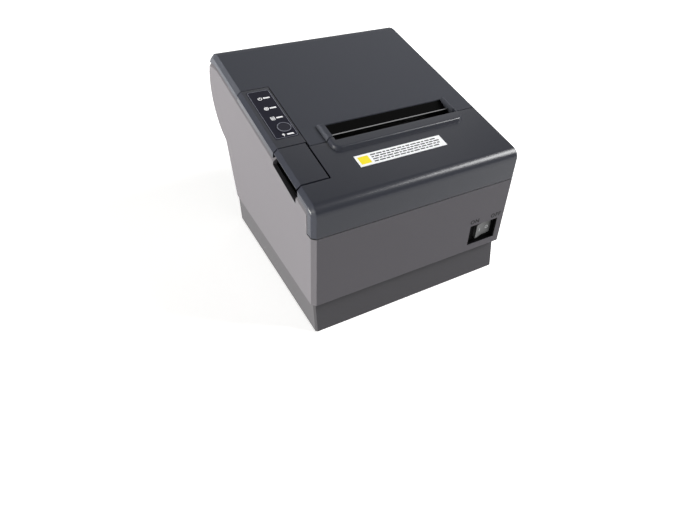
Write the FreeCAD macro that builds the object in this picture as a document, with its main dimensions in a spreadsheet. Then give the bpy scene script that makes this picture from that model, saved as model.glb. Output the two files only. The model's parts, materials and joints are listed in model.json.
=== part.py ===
import FreeCAD, Part
import math
import os
from types import SimpleNamespace
import Sketcher
from FreeCAD import Placement, Rotation, Vector
from fcgear import fcgear, involute

# Receipt printer for 80 mm paper.
# Frame: X to the right, Y to the back, Z up, origin on the floor under the middle.
# Places are first given as a distance from the left side, from the front and from the
# floor. The deck is the sloping top: places on it are given along and square to it.

# Driving sizes in millimetres and degrees: name, value, meaning
SIZES = [
    ("width", 145.0, "case width"),
    ("depth", 170.0, "case depth, front to the rear bulge"),
    ("wall", 2.5, "case wall"),
    ("shell", 2.2, "cover and tray wall"),
    ("seam_gap", 0.3, "gap at the seams between covers and case"),
    ("cover_gap", 0.5, "gap round the rear cover"),
    ("edge_bevel", 2.5, "bevel along the upper and front edges"),
    ("tray_bevel", 1.2, "bevel of the tray's front corners"),
    ("slope", 10.76, "slope of the deck"),
    ("top_front", 95.1, "height of the deck at the front plane"),
    ("front_round", 7.0, "rounding from the front to the deck"),
    ("seam_depth", 6.3, "side seam below the deck"),
    ("base_height", 24.0, "height of the step between tray and case"),
    ("tray_lift", 1.0, "tray bottom above the floor"),
    ("tray_inset", 2.3, "tray inset at each side"),
    ("tray_lean", 3.9, "tray front recess under the step"),
    ("tray_floor", 2.0, "tray floor"),
    ("rear_foot_inset", 39.0, "rear wall at the step, in front of the bulge"),
    ("tray_top_inset", 36.6, "tray top at the rear, in front of the bulge"),
    ("flange_rear_inset", 49.1, "front edge of the rear flange, in front of the bulge"),
    ("tray_rear_inset", 40.0, "tray bottom at the rear, in front of the bulge"),
    ("rim_width", 14.0, "inner flange at the bottom of the case"),
    ("rim_thickness", 2.5, "thickness of that flange"),
    ("bulge_radius", 36.8, "radius of the rear bulge"),
    ("bulge_height", 97.0, "height of the bulge centre"),
    ("rear_round", 14.0, "rounding from the deck to the bulge"),
    ("kink_angle", 72.0, "where the bulge meets the rear wall, below level"),
    ("lip_angle", 66.5, "end of the fixed lip under the cover hinge"),
    ("lip_thickness", 2.0, "thickness of that lip"),
    ("hinge_angle", 58.3, "direction of the cover hinge from the bulge centre"),
    ("hinge_inset", 3.9, "cover hinge below the bulge surface"),
    ("hinge_barrel", 3.6, "radius of the cover hinge barrel"),
    ("hinge_pin", 1.5, "radius of the cover hinge pins"),
    ("hinge_pin_length", 13.0, "length of a cover hinge pin"),
    ("running_fit", 0.05, "radial running clearance"),
    ("press_fit", 0.02, "radial clearance of fixed pins"),
    ("pin_inset", 0.8, "end of a cover hinge pin from the case side"),
    ("front_seam", 75.2, "height of the seam under the front cover"),
    ("corner_strip", 7.5, "depth of the front cover's side strips"),
    ("cover_split", 48.1, "seam between the covers, along the deck"),
    ("lever_width", 20.7, "width of lever and panel from the left side"),
    ("lever_front", 20.1, "front of the lever, along the deck"),
    ("panel_front", 51.9, "front of the panel, along the deck"),
    ("panel_back", 109.9, "back of the panel, along the deck"),
    ("finger_drop", 4.9, "finger gap below the side seam"),
    ("finger_slant", 1.6, "extra drop of the finger gap at its front"),
    ("slot_left", 36.6, "left end of the paper slot"),
    ("slot_right_inset", 20.0, "right end of the paper slot from the right side"),
    ("slot_back", 63.1, "back of the paper slot, along the deck"),
    ("insert_drop", 0.4, "back of the slot insert, and tear edge, below the deck"),
    ("slot_front", 45.6, "front of the paper slot, along the deck"),
    ("rim_height", 2.5, "rim round the slot above the deck"),
    ("rim_root", 0.5, "root of the rim below the deck"),
    ("rim_left", 4.6, "root of the rim beyond the left end of the slot"),
    ("rim_right", 3.0, "root of the rim beyond the right end of the slot"),
    ("rim_front", 37.2, "front root of the rim, along the deck"),
    ("rim_back", 63.6, "back root of the rim, along the deck"),
    ("rim_corner", 6.0, "corner radius of the rim's root"),
    ("rim_draft", 30.0, "slant of the rim's outer faces"),
    ("rim_round", 1.5, "rounding along the top of the rim"),
    ("label_left", 41.0, "left end of the label"),
    ("label_length", 60.8, "length of the label"),
    ("label_front", 21.3, "front of the label, along the deck"),
    ("label_width", 9.5, "width of the label"),
    ("film", 0.25, "thickness of label and overlay"),
    ("overlay_left", 5.0, "left edge of the overlay"),
    ("overlay_right", 19.5, "right edge of the overlay"),
    ("overlay_front", 59.5, "front edge of the overlay, along the deck"),
    ("overlay_back", 107.1, "back edge of the overlay, along the deck"),
    ("button_across", 13.9, "feed button from the left side"),
    ("button_along", 68.5, "feed button along the deck"),
    ("button_radius", 4.5, "feed button radius"),
    ("button_travel", 0.7, "feed button travel"),
    ("board", 1.6, "circuit board thickness"),
    ("panel_board_drop", 3.2, "panel board below the panel plate"),
    ("lever_barrel", 2.2, "hinge barrel of the lever's right edge"),
    ("lever_bevel", 0.7, "bevel of the lever's right edge, across"),
    ("lever_bevel_drop", 1.8, "bevel of the lever's right edge, below the deck"),
    ("lever_land", 0.4, "upright edge of the lever under its left bevel"),
    ("lever_pin", 0.7, "radius of the lever pin"),
    ("lever_gap", 0.2, "gap at the long edges of the lever"),
    ("ear_length", 3.0, "length of a lever bracket ear"),
    ("recess_depth", 11.5, "depth of the finger recess below the deck"),
    ("switch_width", 23.0, "width of the switch recess"),
    ("switch_inset", 7.0, "switch recess from the right side"),
    ("switch_bottom", 29.0, "bottom of the switch recess"),
    ("switch_top", 45.0, "top of the switch recess"),
    ("switch_depth", 11.0, "depth of the switch housing"),
    ("rocker_width", 13.8, "width of the rocker"),
    ("rocker_height", 11.0, "height of the rocker"),
    ("rocker_tilt", 8.0, "tilt of the rocker at rest"),
    ("platen_back", 57.0, "platen axis from the front"),
    ("platen_drop", 15.43, "platen axis below the deck, upright"),
    ("platen_radius", 6.0, "rubber roller radius"),
    ("platen_shaft", 2.5, "platen shaft radius"),
    ("bush_radius", 4.0, "platen bush radius"),
    ("frame_left", 33.0, "outer face of the left frame plate"),
    ("frame_right_inset", 16.5, "outer face of the right frame plate from the right side"),
    ("plate", 1.2, "sheet steel of the mechanism frame"),
    ("frame_front", 14.0, "front of the frame plates"),
    ("frame_back", 60.0, "back of the frame plates"),
    ("arm", 1.8, "arms of the cover's inner frame"),
    ("arm_gap", 0.8, "gap between frame plates and arms"),
    ("feed_module", 0.6, "module of the platen gear pair"),
    ("platen_teeth", 28, "teeth of the platen gear"),
    ("idler_small_teeth", 14, "teeth of the reduction gear's small wheel"),
    ("motor_module", 0.5, "module of the motor gear pair"),
    ("idler_large_teeth", 36, "teeth of the reduction gear's large wheel"),
    ("pinion_teeth", 12, "teeth of the feed motor and cutter pinions"),
    ("backlash", 0.12, "extra centre distance of the gear pairs"),
    ("idler_lean", 12.0, "lean of the reduction gear below the platen"),
    ("motor_lean", 28.0, "lean of the feed motor below the reduction gear"),
    ("gear_width", 3.8, "face width of the gears"),
    ("gear_gap", 0.6, "side gap between gears and their neighbours"),
    ("stud", 1.5, "radius of the gear stud and motor shafts"),
    ("motor_radius", 9.0, "feed motor radius"),
    ("motor_length", 16.0, "feed motor length"),
    ("head_gap", 0.3, "gap between print head and roller"),
    ("head_ceramic", 1.2, "print head board thickness"),
    ("heat_sink", 4.0, "heat sink thickness"),
    ("head_below", 13.5, "bottom of the heat sink below the platen axis"),
    ("head_above", 4.5, "top of the heat sink above the platen axis"),
    ("head_pin", 1.0, "radius of the head pivot pin"),
    ("head_pin_rise", 1.8, "head pivot pin above the bottom of the heat sink"),
    ("spring_length", 7.8, "head spring length"),
    ("spring_radius", 2.8, "head spring radius"),
    ("spring_rise", 7.2, "head springs above the head pivot pin"),
    ("blade_depth", 8.1, "underside of the moving blade below the deck"),
    ("blade", 1.0, "blade thickness"),
    ("blade_gap", 0.2, "gap between the blades"),
    ("blade_tip", 46.6, "moving blade edge at rest, along the deck"),
    ("carrier", 2.1, "blade carrier thickness"),
    ("tear_edge", 52.8, "tear edge, along the deck"),
    ("tear_lip", 0.8, "thickness of the tear edge"),
    ("cutter_module", 0.8, "module of the cutter rack and pinion"),
    ("cutter_along", 18.0, "cutter pinion along the deck"),
    ("rack_inset", 33.0, "left side of the rack from the right side"),
    ("rack_width", 6.0, "width of the rack"),
    ("cutter_motor_radius", 6.0, "cutter motor radius"),
    ("cutter_motor_length", 24.0, "cutter motor length"),
    ("latch_reach", 15.0, "latch shaft in front of the platen axis"),
    ("latch_drop", 10.5, "latch shaft below the platen axis"),
    ("latch_radius", 2.0, "latch shaft radius"),
    ("hook_width", 1.5, "thickness of a latch hook"),
    ("crank_left", 22.7, "left side of the latch crank"),
    ("bucket_wall", 1.8, "paper bucket wall"),
    ("bucket_rear_inset", 30.0, "back of the paper bucket in front of the bulge"),
    ("bucket_gap", 0.4, "gap between the paper bucket and the mechanism frame"),
    ("bucket_height", 72.5, "paper roll axis above the floor"),
    ("leg_reach", 18.0, "half width of the bucket legs"),
    ("bucket_rim", 84.0, "top of the paper bucket"),
    ("bucket_left", 38.7, "left inner side of the paper bucket"),
    ("bucket_right_inset", 22.3, "right inner side of the paper bucket from the right side"),
    ("standoff", 5.0, "height of the board standoffs"),
    ("board_left", 42.0, "left edge of the main board"),
    ("board_right_inset", 26.0, "right edge of the main board from the right side"),
    ("board_front", 66.0, "front edge of the main board"),
    ("board_rear_inset", 43.0, "rear edge of the main board in front of the bulge"),
    ("socket_rear_inset", 38.8, "rear face of the sockets in front of the bulge"),
    ("screw", 1.5, "screw shank radius"),
    ("screw_head", 2.9, "screw head radius"),
    ("screw_head_height", 1.8, "screw head height"),
    ("screw_ledge", 1.0, "screw seat above the tray floor"),
    ("screw_inset", 9.5, "case screws from the tray's sides"),
    ("foot_radius", 6.0, "rubber foot radius"),
]

doc = FreeCAD.newDocument("receipt_printer")
sheet = doc.addObject("Spreadsheet::Sheet", "Sizes")
for row, (alias, value, meaning) in enumerate(SIZES, start=1):
    sheet.set("A%d" % row, str(value))
    sheet.setAlias("A%d" % row, alias)
    sheet.set("B%d" % row, meaning)
doc.recompute()


class Size:
    """A number together with the formula that it comes from."""

    def __init__(self, text, value):
        self.text = text
        self.value = float(value)

    def __add__(self, other):
        other = as_size(other)
        return Size("(%s + %s)" % (self.text, other.text), self.value + other.value)

    def __sub__(self, other):
        other = as_size(other)
        return Size("(%s - %s)" % (self.text, other.text), self.value - other.value)

    def __mul__(self, other):
        other = as_size(other)
        return Size("(%s * %s)" % (self.text, other.text), self.value * other.value)

    def __truediv__(self, other):
        other = as_size(other)
        return Size("(%s / %s)" % (self.text, other.text), self.value / other.value)

    def __radd__(self, other):
        return as_size(other) + self

    def __rsub__(self, other):
        return as_size(other) - self

    def __rmul__(self, other):
        return as_size(other) * self

    def __neg__(self):
        return as_size(0) - self


def as_size(number):
    """A plain number as a size."""
    if isinstance(number, Size):
        return number
    return Size(repr(float(number)), number)


def root(size):
    """Square root of a size."""
    return Size("sqrt(%s)" % size.text, math.sqrt(size.value))


def cosine(angle):
    """Cosine of an angle in degrees."""
    return Size("cos(%s)" % angle.text, math.cos(math.radians(angle.value)))


def sine(angle):
    """Sine of an angle in degrees."""
    return Size("sin(%s)" % angle.text, math.sin(math.radians(angle.value)))


S = SimpleNamespace(**{alias: Size("Sizes." + alias, sheet.get(alias)) for alias, _, _ in SIZES})
COS = cosine(S.slope)
SIN = sine(S.slope)
TAN = SIN / COS
NODES = {}

# Small sizes and gaps in millimetres that stay as they are
THROUGH = 1.0
CARRIER_PLAY = 0.2
RACK_DROP = 2.8
POST_WALL = 2.5
STANDOFF_WALL = 1.5
THREAD_BITE = 0.45
SOCKET_PLAY = 0.3
SOCKET_MOUTH = 11.0
FOOT_SIDE = 18.0
FOOT_FRONT = 8.0
FOOT_REAR = 18.0
CRANK = 1.4
HOOK_PLAY = 0.4
EAR_FRONT_GAP = 1.2
EAR_BACK_GAP = 1.6
DEDENDUM = 1.25
PRESSURE_ANGLE = 20

# Sizes that follow from the driving ones
S.slot_right = S.width - S.slot_right_inset
S.switch_right = S.width - S.switch_inset
S.switch_left = S.switch_right - S.switch_width
S.frame_right = S.width - S.frame_right_inset
S.rack_left = S.width - S.rack_inset
S.bucket_right = S.width - S.bucket_right_inset
S.board_right = S.width - S.board_right_inset
S.board_back = S.depth - S.board_rear_inset
S.socket_back = S.depth - S.socket_rear_inset
S.bucket_outer = (S.depth - S.bucket_rear_inset - S.frame_back - S.bucket_gap) / 2
S.bucket_radius = S.bucket_outer - S.bucket_wall
S.bucket_back = S.frame_back + S.bucket_gap + S.bucket_outer
S.platen_height = S.top_front + S.platen_back * TAN - S.platen_drop
S.head_bottom = S.platen_height - S.head_below
S.head_top = S.platen_height + S.head_above
S.head_pin_height = S.head_bottom + S.head_pin_rise
S.spring_height = S.head_pin_height + S.spring_rise
S.latch_back = S.platen_back - S.latch_reach
S.latch_height = S.platen_height - S.latch_drop


def across(distance):
    """X of a distance from the left side."""
    return distance - S.width / 2


def along(distance):
    """Y of a distance from the front plane."""
    return distance - S.depth / 2


def top_z(distance):
    """Height of the deck at a distance from the front."""
    return S.top_front + distance * TAN


def deck(distance, rise):
    """Y and Z of a point along the deck and square to it."""
    return along(distance * COS - rise * SIN), S.top_front + distance * SIN + rise * COS


def on_deck(back, height):
    """Deck place, along and square, of a distance from the front and a height."""
    rise = height - S.top_front
    return back * COS + rise * SIN, rise * COS - back * SIN


def bind(thing, name, size):
    """Drive a property by a formula."""
    thing.setExpression(name, as_size(size).text)


def place(thing, base, axis=None, angle=None):
    """Drive a placement: its base point and a turn about an axis."""
    if axis is not None:
        turn = Rotation(axis, as_size(angle).value)
        thing.Placement = Placement(Vector(0, 0, 0), turn)
        bind(thing, "Placement.Rotation.Angle", angle)
    for name, size in zip("xyz", base):
        bind(thing, "Placement.Base." + name, size)
    return thing


def node(name, thing):
    """Name a finished sub-part."""
    thing.Label = name
    NODES[name] = thing
    return thing


def box(name, low, high):
    """Box between two corners."""
    thing = doc.addObject("Part::Box", name)
    for side, start, end in zip(("Length", "Width", "Height"), low, high):
        bind(thing, side, as_size(end) - start)
    return place(thing, low)


def deck_box(name, low, high):
    """Box on the deck: corners as X, along and square."""
    thing = doc.addObject("Part::Box", name)
    for side, start, end in zip(("Length", "Width", "Height"), low, high):
        bind(thing, side, as_size(end) - start)
    return place(thing, (low[0],) + deck(low[1], low[2]), Vector(1, 0, 0), S.slope)


TURNS = {
    "x": (Vector(0, 1, 0), as_size(90)),
    "y": (Vector(-1, 0, 0), as_size(90)),
    "z": (Vector(0, 0, 1), as_size(0)),
    "along": (Vector(-1, 0, 0), 90 - S.slope),
    "square": (Vector(1, 0, 0), S.slope),
}


def rod(name, way, start, radius, length):
    """Cylinder from a point, along an axis or a deck direction."""
    thing = doc.addObject("Part::Cylinder", name)
    bind(thing, "Radius", radius)
    bind(thing, "Height", length)
    return place(thing, start, *TURNS[way])


def fuse(name, *parts):
    """Union of solids."""
    thing = doc.addObject("Part::MultiFuse", name)
    thing.Shapes = list(parts)
    return thing


def cut(name, base, *tools):
    """Solid less other solids."""
    thing = doc.addObject("Part::Cut", name)
    thing.Base = base
    thing.Tool = tools[0] if len(tools) == 1 else fuse(name + "_tools", *tools)
    return thing


def group(name, *parts):
    """Several like solids in one node."""
    thing = doc.addObject("Part::Compound", name)
    thing.Links = list(parts)
    return thing


def new_body(name, on_the_deck=False):
    """Body in the part's frame, or in the frame of the deck."""
    body = doc.addObject("PartDesign::Body", name)
    if on_the_deck:
        place(body, (as_size(0),) + deck(as_size(0), as_size(0)), Vector(1, 0, 0), S.slope)
    return body


def arc_geometry(start, end, radius, turn):
    """Arc under a half circle between two points, turning left for 1 and right for -1."""
    chord = end - start
    rise = math.sqrt(max(radius * radius - chord.Length ** 2 / 4, 0))
    left = Vector(-chord.y, chord.x, 0).normalize()
    centre = (start + end) * 0.5 + left * (rise * turn)
    angles = [math.atan2(point.y - centre.y, point.x - centre.x) for point in (start, end)]
    if turn < 0:
        angles.reverse()
    return Part.ArcOfCircle(Part.Circle(centre, Vector(0, 0, 1), radius), *angles)


def sketch(body, name, role, shift, corners):
    """Closed outline. A corner is two sizes, or four where an arc leads to it."""
    outline = body.newObject("Sketcher::SketchObject", name)
    plane = [part for part in body.Origin.OriginFeatures if part.Role == role][0]
    outline.AttachmentSupport = (plane, [""])
    outline.MapMode = "FlatFace"
    bind(outline, "AttachmentOffset.Base.z", shift)
    corners = [tuple(as_size(part) for part in corner) for corner in corners]
    points = [Vector(corner[0].value, corner[1].value, 0) for corner in corners]
    ends = []
    for index, corner in enumerate(corners):
        start, end = points[index - 1], points[index]
        if len(corner) == 2:
            line = outline.addGeometry(Part.LineSegment(start, end), False)
            ends.append((line, 1, 2))
            continue
        radius, turn = corner[2], corner[3].value
        arc = outline.addGeometry(arc_geometry(start, end, radius.value, turn), False)
        rule = outline.addConstraint(Sketcher.Constraint("Radius", arc, radius.value))
        bind(outline, "Constraints[%d]" % rule, radius)
        ends.append((arc, 1, 2) if turn > 0 else (arc, 2, 1))
    for index, corner in enumerate(corners):
        line, _, last = ends[index]
        following, first, _ = ends[(index + 1) % len(ends)]
        outline.addConstraint(Sketcher.Constraint("Coincident", line, last, following, first))
        for kind, size in zip(("DistanceX", "DistanceY"), corner):
            rule = outline.addConstraint(Sketcher.Constraint(kind, -1, 1, line, last, size.value))
            bind(outline, "Constraints[%d]" % rule, size)
    return outline


def pad(body, name, outline, length, draft=None):
    """Material from an outline, along its plane's normal."""
    feature = body.newObject("PartDesign::Pad", name)
    feature.Profile = outline
    bind(feature, "Length", length)
    if draft is not None:
        bind(feature, "TaperAngle", -draft)
    return feature


def pocket(body, name, outline, length):
    """Cut from an outline, against its plane's normal."""
    feature = body.newObject("PartDesign::Pocket", name)
    feature.Profile = outline
    bind(feature, "Length", length)
    return feature


def bevel_edges(body, name, base, side, size, choose):
    """Bevel the edges on both sides, at a distance from the middle, that the choice accepts."""
    doc.recompute()
    half = side.value
    names = []
    for index, edge in enumerate(base.Shape.Edges, start=1):
        middle = edge.valueAt((edge.FirstParameter + edge.LastParameter) / 2)
        outside = all(abs(abs(end.X) - half) < 1e-4 for end in edge.Vertexes)
        if outside and abs(abs(middle.x) - half) < 1e-4 and choose(middle):
            names.append("Edge%d" % index)
    feature = body.newObject("PartDesign::Chamfer", name)
    feature.Base = (base, names)
    bind(feature, "Size", size)
    return feature


def round_top(body, name, base, height, radius):
    """Round the edges of a pad's upper face."""
    doc.recompute()
    top = height.value
    edges = enumerate(base.Shape.Edges, start=1)
    names = [
        "Edge%d" % index for index, edge in edges
        if all(abs(end.Z - top) < 1e-4 for end in edge.Vertexes)
    ]
    feature = body.newObject("PartDesign::Fillet", name)
    feature.Base = (base, names)
    bind(feature, "Radius", radius)
    return feature


def rectangle(low, high):
    """Corners of an upright rectangle."""
    return [(low[0], low[1]), (high[0], low[1]), (high[0], high[1]), (low[0], high[1])]


def gear_blank(name, module, teeth, width, start, turn):
    """Involute spur gear across X, its first tooth at an angle above the back."""
    builder = fcgear.FCWireBuilder()
    involute.CreateExternalGear(builder, module.value, int(round(teeth.value)), PRESSURE_ANGLE, True)
    wire = Part.Wire([edge.toShape() for edge in builder.wire])
    # The flat profile lies in X and Y and is stood up into Y and Z.
    upright = Rotation(Vector(0, 1, 0), Vector(0, 0, 1), Vector(1, 0, 0), "XYZ")
    wire.Placement = Placement(Vector(0, 0, 0), upright * Rotation(Vector(0, 0, 1), turn))
    profile = doc.addObject("Part::Feature", name + "_profile")
    profile.Shape = wire
    blank = doc.addObject("Part::Extrusion", name)
    blank.Base = profile
    blank.DirMode = "Custom"
    blank.Dir = Vector(1, 0, 0)
    blank.Solid = True
    bind(blank, "LengthFwd", width)
    return place(blank, start)


# Places shared by several sub-parts

BULGE_BACK = S.depth - S.bulge_radius
BULGE_ALONG, BULGE_RISE = on_deck(BULGE_BACK, S.bulge_height)
ROUND_REACH = S.bulge_radius - S.rear_round
ROUND_DROP = S.rear_round + BULGE_RISE
ROUND_ALONG = BULGE_ALONG + root(ROUND_REACH * ROUND_REACH - ROUND_DROP * ROUND_DROP)
FRONT_ALONG = S.front_round * (1 - SIN) / COS
INNER = S.width - S.wall
COVER_SIDE = S.wall + S.seam_gap
SPLIT_BACK = S.cover_split * COS


def on_bulge(radius, angle):
    """Y and Z on a circle about the bulge centre, at an angle below level."""
    return along(BULGE_BACK + radius * cosine(angle)), S.bulge_height - radius * sine(angle)


HINGE_REACH = S.bulge_radius - S.hinge_inset
HINGE_Y, HINGE_Z = on_bulge(HINGE_REACH, S.hinge_angle)
HINGE_ALONG, HINGE_RISE = on_deck(HINGE_Y + S.depth / 2, HINGE_Z)


def seam_end(radius):
    """Where a circle about the cover hinge meets the bulge."""
    square = S.bulge_radius * S.bulge_radius
    reach = (square - radius * radius + HINGE_REACH * HINGE_REACH) / (2 * HINGE_REACH)
    offset = root(square - reach * reach)
    lower = S.hinge_angle
    back = BULGE_BACK + reach * cosine(lower) + offset * sine(lower)
    return along(back), S.bulge_height - reach * sine(lower) + offset * cosine(lower)


def bulge_joint(offset):
    """Where the rear rounding meets the bulge, on the surface or inside it."""
    round_y, round_z = deck(ROUND_ALONG, -S.rear_round)
    share = (S.bulge_radius - offset) / ROUND_REACH
    middle_y = along(BULGE_BACK)
    return middle_y + (round_y - middle_y) * share, S.bulge_height + (round_z - S.bulge_height) * share


SEAM_RADIUS = -S.seam_depth - HINGE_RISE
PLATEN_Y = along(S.platen_back)
PLATEN_ALONG, PLATEN_RISE = on_deck(S.platen_back, S.platen_height)
FEED_DISTANCE = S.feed_module * (S.platen_teeth + S.idler_small_teeth) / 2 + S.backlash
IDLER_BACK = S.platen_back - FEED_DISTANCE * sine(S.idler_lean)
IDLER_HEIGHT = S.platen_height - FEED_DISTANCE * cosine(S.idler_lean)
MOTOR_DISTANCE = S.motor_module * (S.idler_large_teeth + S.pinion_teeth) / 2 + S.backlash
MOTOR_BACK = IDLER_BACK - MOTOR_DISTANCE * sine(S.motor_lean)
MOTOR_HEIGHT = IDLER_HEIGHT - MOTOR_DISTANCE * cosine(S.motor_lean)
PLATE_IN_LEFT = S.frame_left + S.plate
PLATE_IN_RIGHT = S.frame_right - S.plate
ARM_LEFT = PLATE_IN_LEFT + S.arm_gap
ARM_RIGHT = PLATE_IN_RIGHT - S.arm_gap
FEED_GEAR_LEFT = S.frame_left - S.gear_width - S.gear_gap
IDLER_GEAR_LEFT = FEED_GEAR_LEFT - S.gear_width
HEAD_BACK = S.platen_back - S.platen_radius - S.head_gap
SINK_BACK = HEAD_BACK - S.head_ceramic
SINK_FRONT = SINK_BACK - S.heat_sink
SPRING_WALL = SINK_FRONT - S.spring_length
CARRIER_LOW = S.blade_depth + S.carrier
FRAME_TOP_DROP = CARRIER_LOW + CARRIER_PLAY
FRAME_LOW_DROP = FRAME_TOP_DROP + S.plate
RACK_PITCH = CARRIER_LOW + RACK_DROP
CUTTER_DROP = RACK_PITCH + S.cutter_module * S.pinion_teeth / 2 + S.backlash
TRAY_TOP_FLOOR = S.tray_lift + S.tray_floor
SCREW_SEAT = TRAY_TOP_FLOOR + S.screw_ledge
TRAY_LEFT = S.tray_inset
TRAY_RIGHT = S.width - S.tray_inset
REAR_FOOT = S.depth - S.rear_foot_inset
BOARD_LOW = TRAY_TOP_FLOOR + S.standoff
BOARD_TOP = BOARD_LOW + S.board
LEVER_AXIS = S.lever_width - S.lever_gap - S.lever_barrel


def make_main_case():
    body = new_body("case_body")
    front_top = S.front_seam - S.cover_gap
    outer = [
        (along(0), S.base_height),
        (along(0), front_top),
        (along(S.corner_strip), front_top),
        (along(S.corner_strip), top_z(S.corner_strip) - S.seam_depth / COS),
        deck(HINGE_ALONG, -S.seam_depth),
        seam_end(SEAM_RADIUS) + (SEAM_RADIUS, -1),
        on_bulge(S.bulge_radius, S.kink_angle) + (S.bulge_radius, -1),
        (along(REAR_FOOT), S.base_height),
    ]
    base = pad(body, "case_block", sketch(body, "case_side", "YZ_Plane", across(0), outer), S.width)
    front = along(0).value
    rear = along(REAR_FOOT).value
    bevel_edges(
        body, "case_corners", base, S.width / 2, S.edge_bevel,
        lambda middle: abs(middle.y - front) < 1e-4 or middle.y > rear,
    )
    rim_top = S.base_height + S.rim_thickness
    high = S.top_front + S.depth
    far = along(S.depth + S.wall)
    lip_far = on_bulge(S.bulge_radius + S.wall, S.lip_angle)
    inner = [
        (along(S.wall), rim_top),
        (along(S.wall), high),
        (far, high),
        (far, lip_far[1]),
        lip_far,
        on_bulge(S.bulge_radius - S.lip_thickness, S.lip_angle),
        on_bulge(S.bulge_radius - S.wall, S.kink_angle),
        (along(REAR_FOOT - S.wall), rim_top),
    ]
    room = sketch(body, "case_room", "YZ_Plane", across(INNER), inner)
    pocket(body, "case_hollow", room, S.width - 2 * S.wall)
    opening = rectangle(
        (across(S.rim_width), along(S.rim_width)),
        (across(S.width - S.rim_width), along(S.depth - S.flange_rear_inset)),
    )
    below = sketch(body, "case_opening", "XY_Plane", rim_top, opening)
    pocket(body, "case_bottom", below, S.rim_thickness)
    gap_low = S.seam_depth + S.finger_drop
    gap = [
        deck(S.lever_front - S.seam_gap, -gap_low - S.finger_slant),
        deck(S.panel_front - S.seam_gap, -gap_low),
        deck(S.panel_front - S.seam_gap, as_size(0)),
        deck(S.lever_front - S.seam_gap, as_size(0)),
    ]
    pocket(body, "finger_gap", sketch(body, "finger_side", "YZ_Plane", across(S.wall), gap), S.wall)
    window = rectangle(
        (across(S.switch_left), S.switch_bottom),
        (across(S.switch_right), S.switch_top),
    )
    pocket(body, "switch_window", sketch(body, "switch_front", "XZ_Plane", -along(0), window), S.wall)
    pins = rod(
        "case_pin_holes", "x", (across(S.pin_inset), HINGE_Y, HINGE_Z),
        S.hinge_pin + S.press_fit, S.width - 2 * S.pin_inset,
    )
    hole = S.screw + S.running_fit
    holes = [
        rod("case_screw_hole_%d" % index, "z", (x, y, S.base_height), hole, S.rim_thickness)
        for index, (x, y) in enumerate(screw_places())
    ]
    node("main_case", cut("main_case", body, pins, *holes))


def screw_places():
    """X and Y of the four case screws."""
    sides = (across(TRAY_LEFT + S.screw_inset), across(TRAY_RIGHT - S.screw_inset))
    ends = (along(S.tray_lean + S.screw_inset), along(S.depth - S.flange_rear_inset + 3))
    return [(x, y) for x in sides for y in ends]


def standoff_places():
    """X and Y of the four main board screws."""
    return [
        (across(x), along(y))
        for x in (S.board_left + 4, S.board_right - 4)
        for y in (S.board_front + 4, S.board_back - 24)
    ]


SOCKETS = {
    "power_socket": (48.0, 62.0, 13.0),
    "usb_socket": (70.0, 82.0, 11.0),
    "drawer_socket": (92.0, 106.0, 12.5),
}


def make_base_tray():
    body = new_body("tray_body")
    rear_low = along(S.depth - S.tray_rear_inset)
    rear_high = along(S.depth - S.tray_top_inset)
    outer = [
        (along(0), S.tray_lift),
        (along(S.tray_lean), S.base_height),
        (rear_high, S.base_height),
        (rear_low, S.tray_lift),
    ]
    side = sketch(body, "tray_side", "YZ_Plane", across(TRAY_LEFT), outer)
    block = pad(body, "tray_block", side, S.width - 2 * S.tray_inset)
    front = along(S.tray_lean).value
    tray_side = S.width / 2 - S.tray_inset
    bevel_edges(body, "tray_corners", block, tray_side, S.tray_bevel, lambda middle: middle.y < front)
    front_extra = 0.6
    post_height = S.base_height - TRAY_TOP_FLOOR
    front_wall = S.shell + front_extra
    inner = [
        (along(front_wall), TRAY_TOP_FLOOR),
        (along(S.tray_lean + front_wall), S.base_height + THROUGH),
        (rear_high - S.shell, S.base_height + THROUGH),
        (rear_low - S.shell, TRAY_TOP_FLOOR),
    ]
    room = sketch(body, "tray_room", "YZ_Plane", across(TRAY_RIGHT - S.shell), inner)
    pocket(body, "tray_hollow", room, S.width - 2 * (S.tray_inset + S.shell))
    posts = [
        rod("tray_post_%d" % index, "z", (x, y, TRAY_TOP_FLOOR), S.screw + POST_WALL, post_height)
        for index, (x, y) in enumerate(screw_places())
    ]
    posts += [
        rod("tray_standoff_%d" % index, "z", (x, y, TRAY_TOP_FLOOR), S.screw + STANDOFF_WALL, S.standoff)
        for index, (x, y) in enumerate(standoff_places())
    ]
    tools = []
    for index, (x, y) in enumerate(screw_places()):
        fit = S.screw + S.running_fit
        tools.append(rod("tray_hole_%d" % index, "z", (x, y, 0), fit, S.base_height))
        tools.append(rod("tray_sink_%d" % index, "z", (x, y, 0), S.screw_head + S.seam_gap, SCREW_SEAT))
    for index, (x, y) in enumerate(standoff_places()):
        fit = S.screw - THREAD_BITE
        tools.append(rod("tray_thread_%d" % index, "z", (x, y, TRAY_TOP_FLOOR), fit, S.standoff))
    for name, (left, right, height) in SOCKETS.items():
        low = (across(left - SOCKET_PLAY), along(S.board_back), BOARD_TOP)
        high = (across(right + SOCKET_PLAY), along(S.depth), BOARD_TOP + height + SOCKET_PLAY)
        tools.append(box("tray_" + name, low, high))
    node("base_tray", cut("base_tray", fuse("tray_with_posts", body, *posts), *tools))


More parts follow.
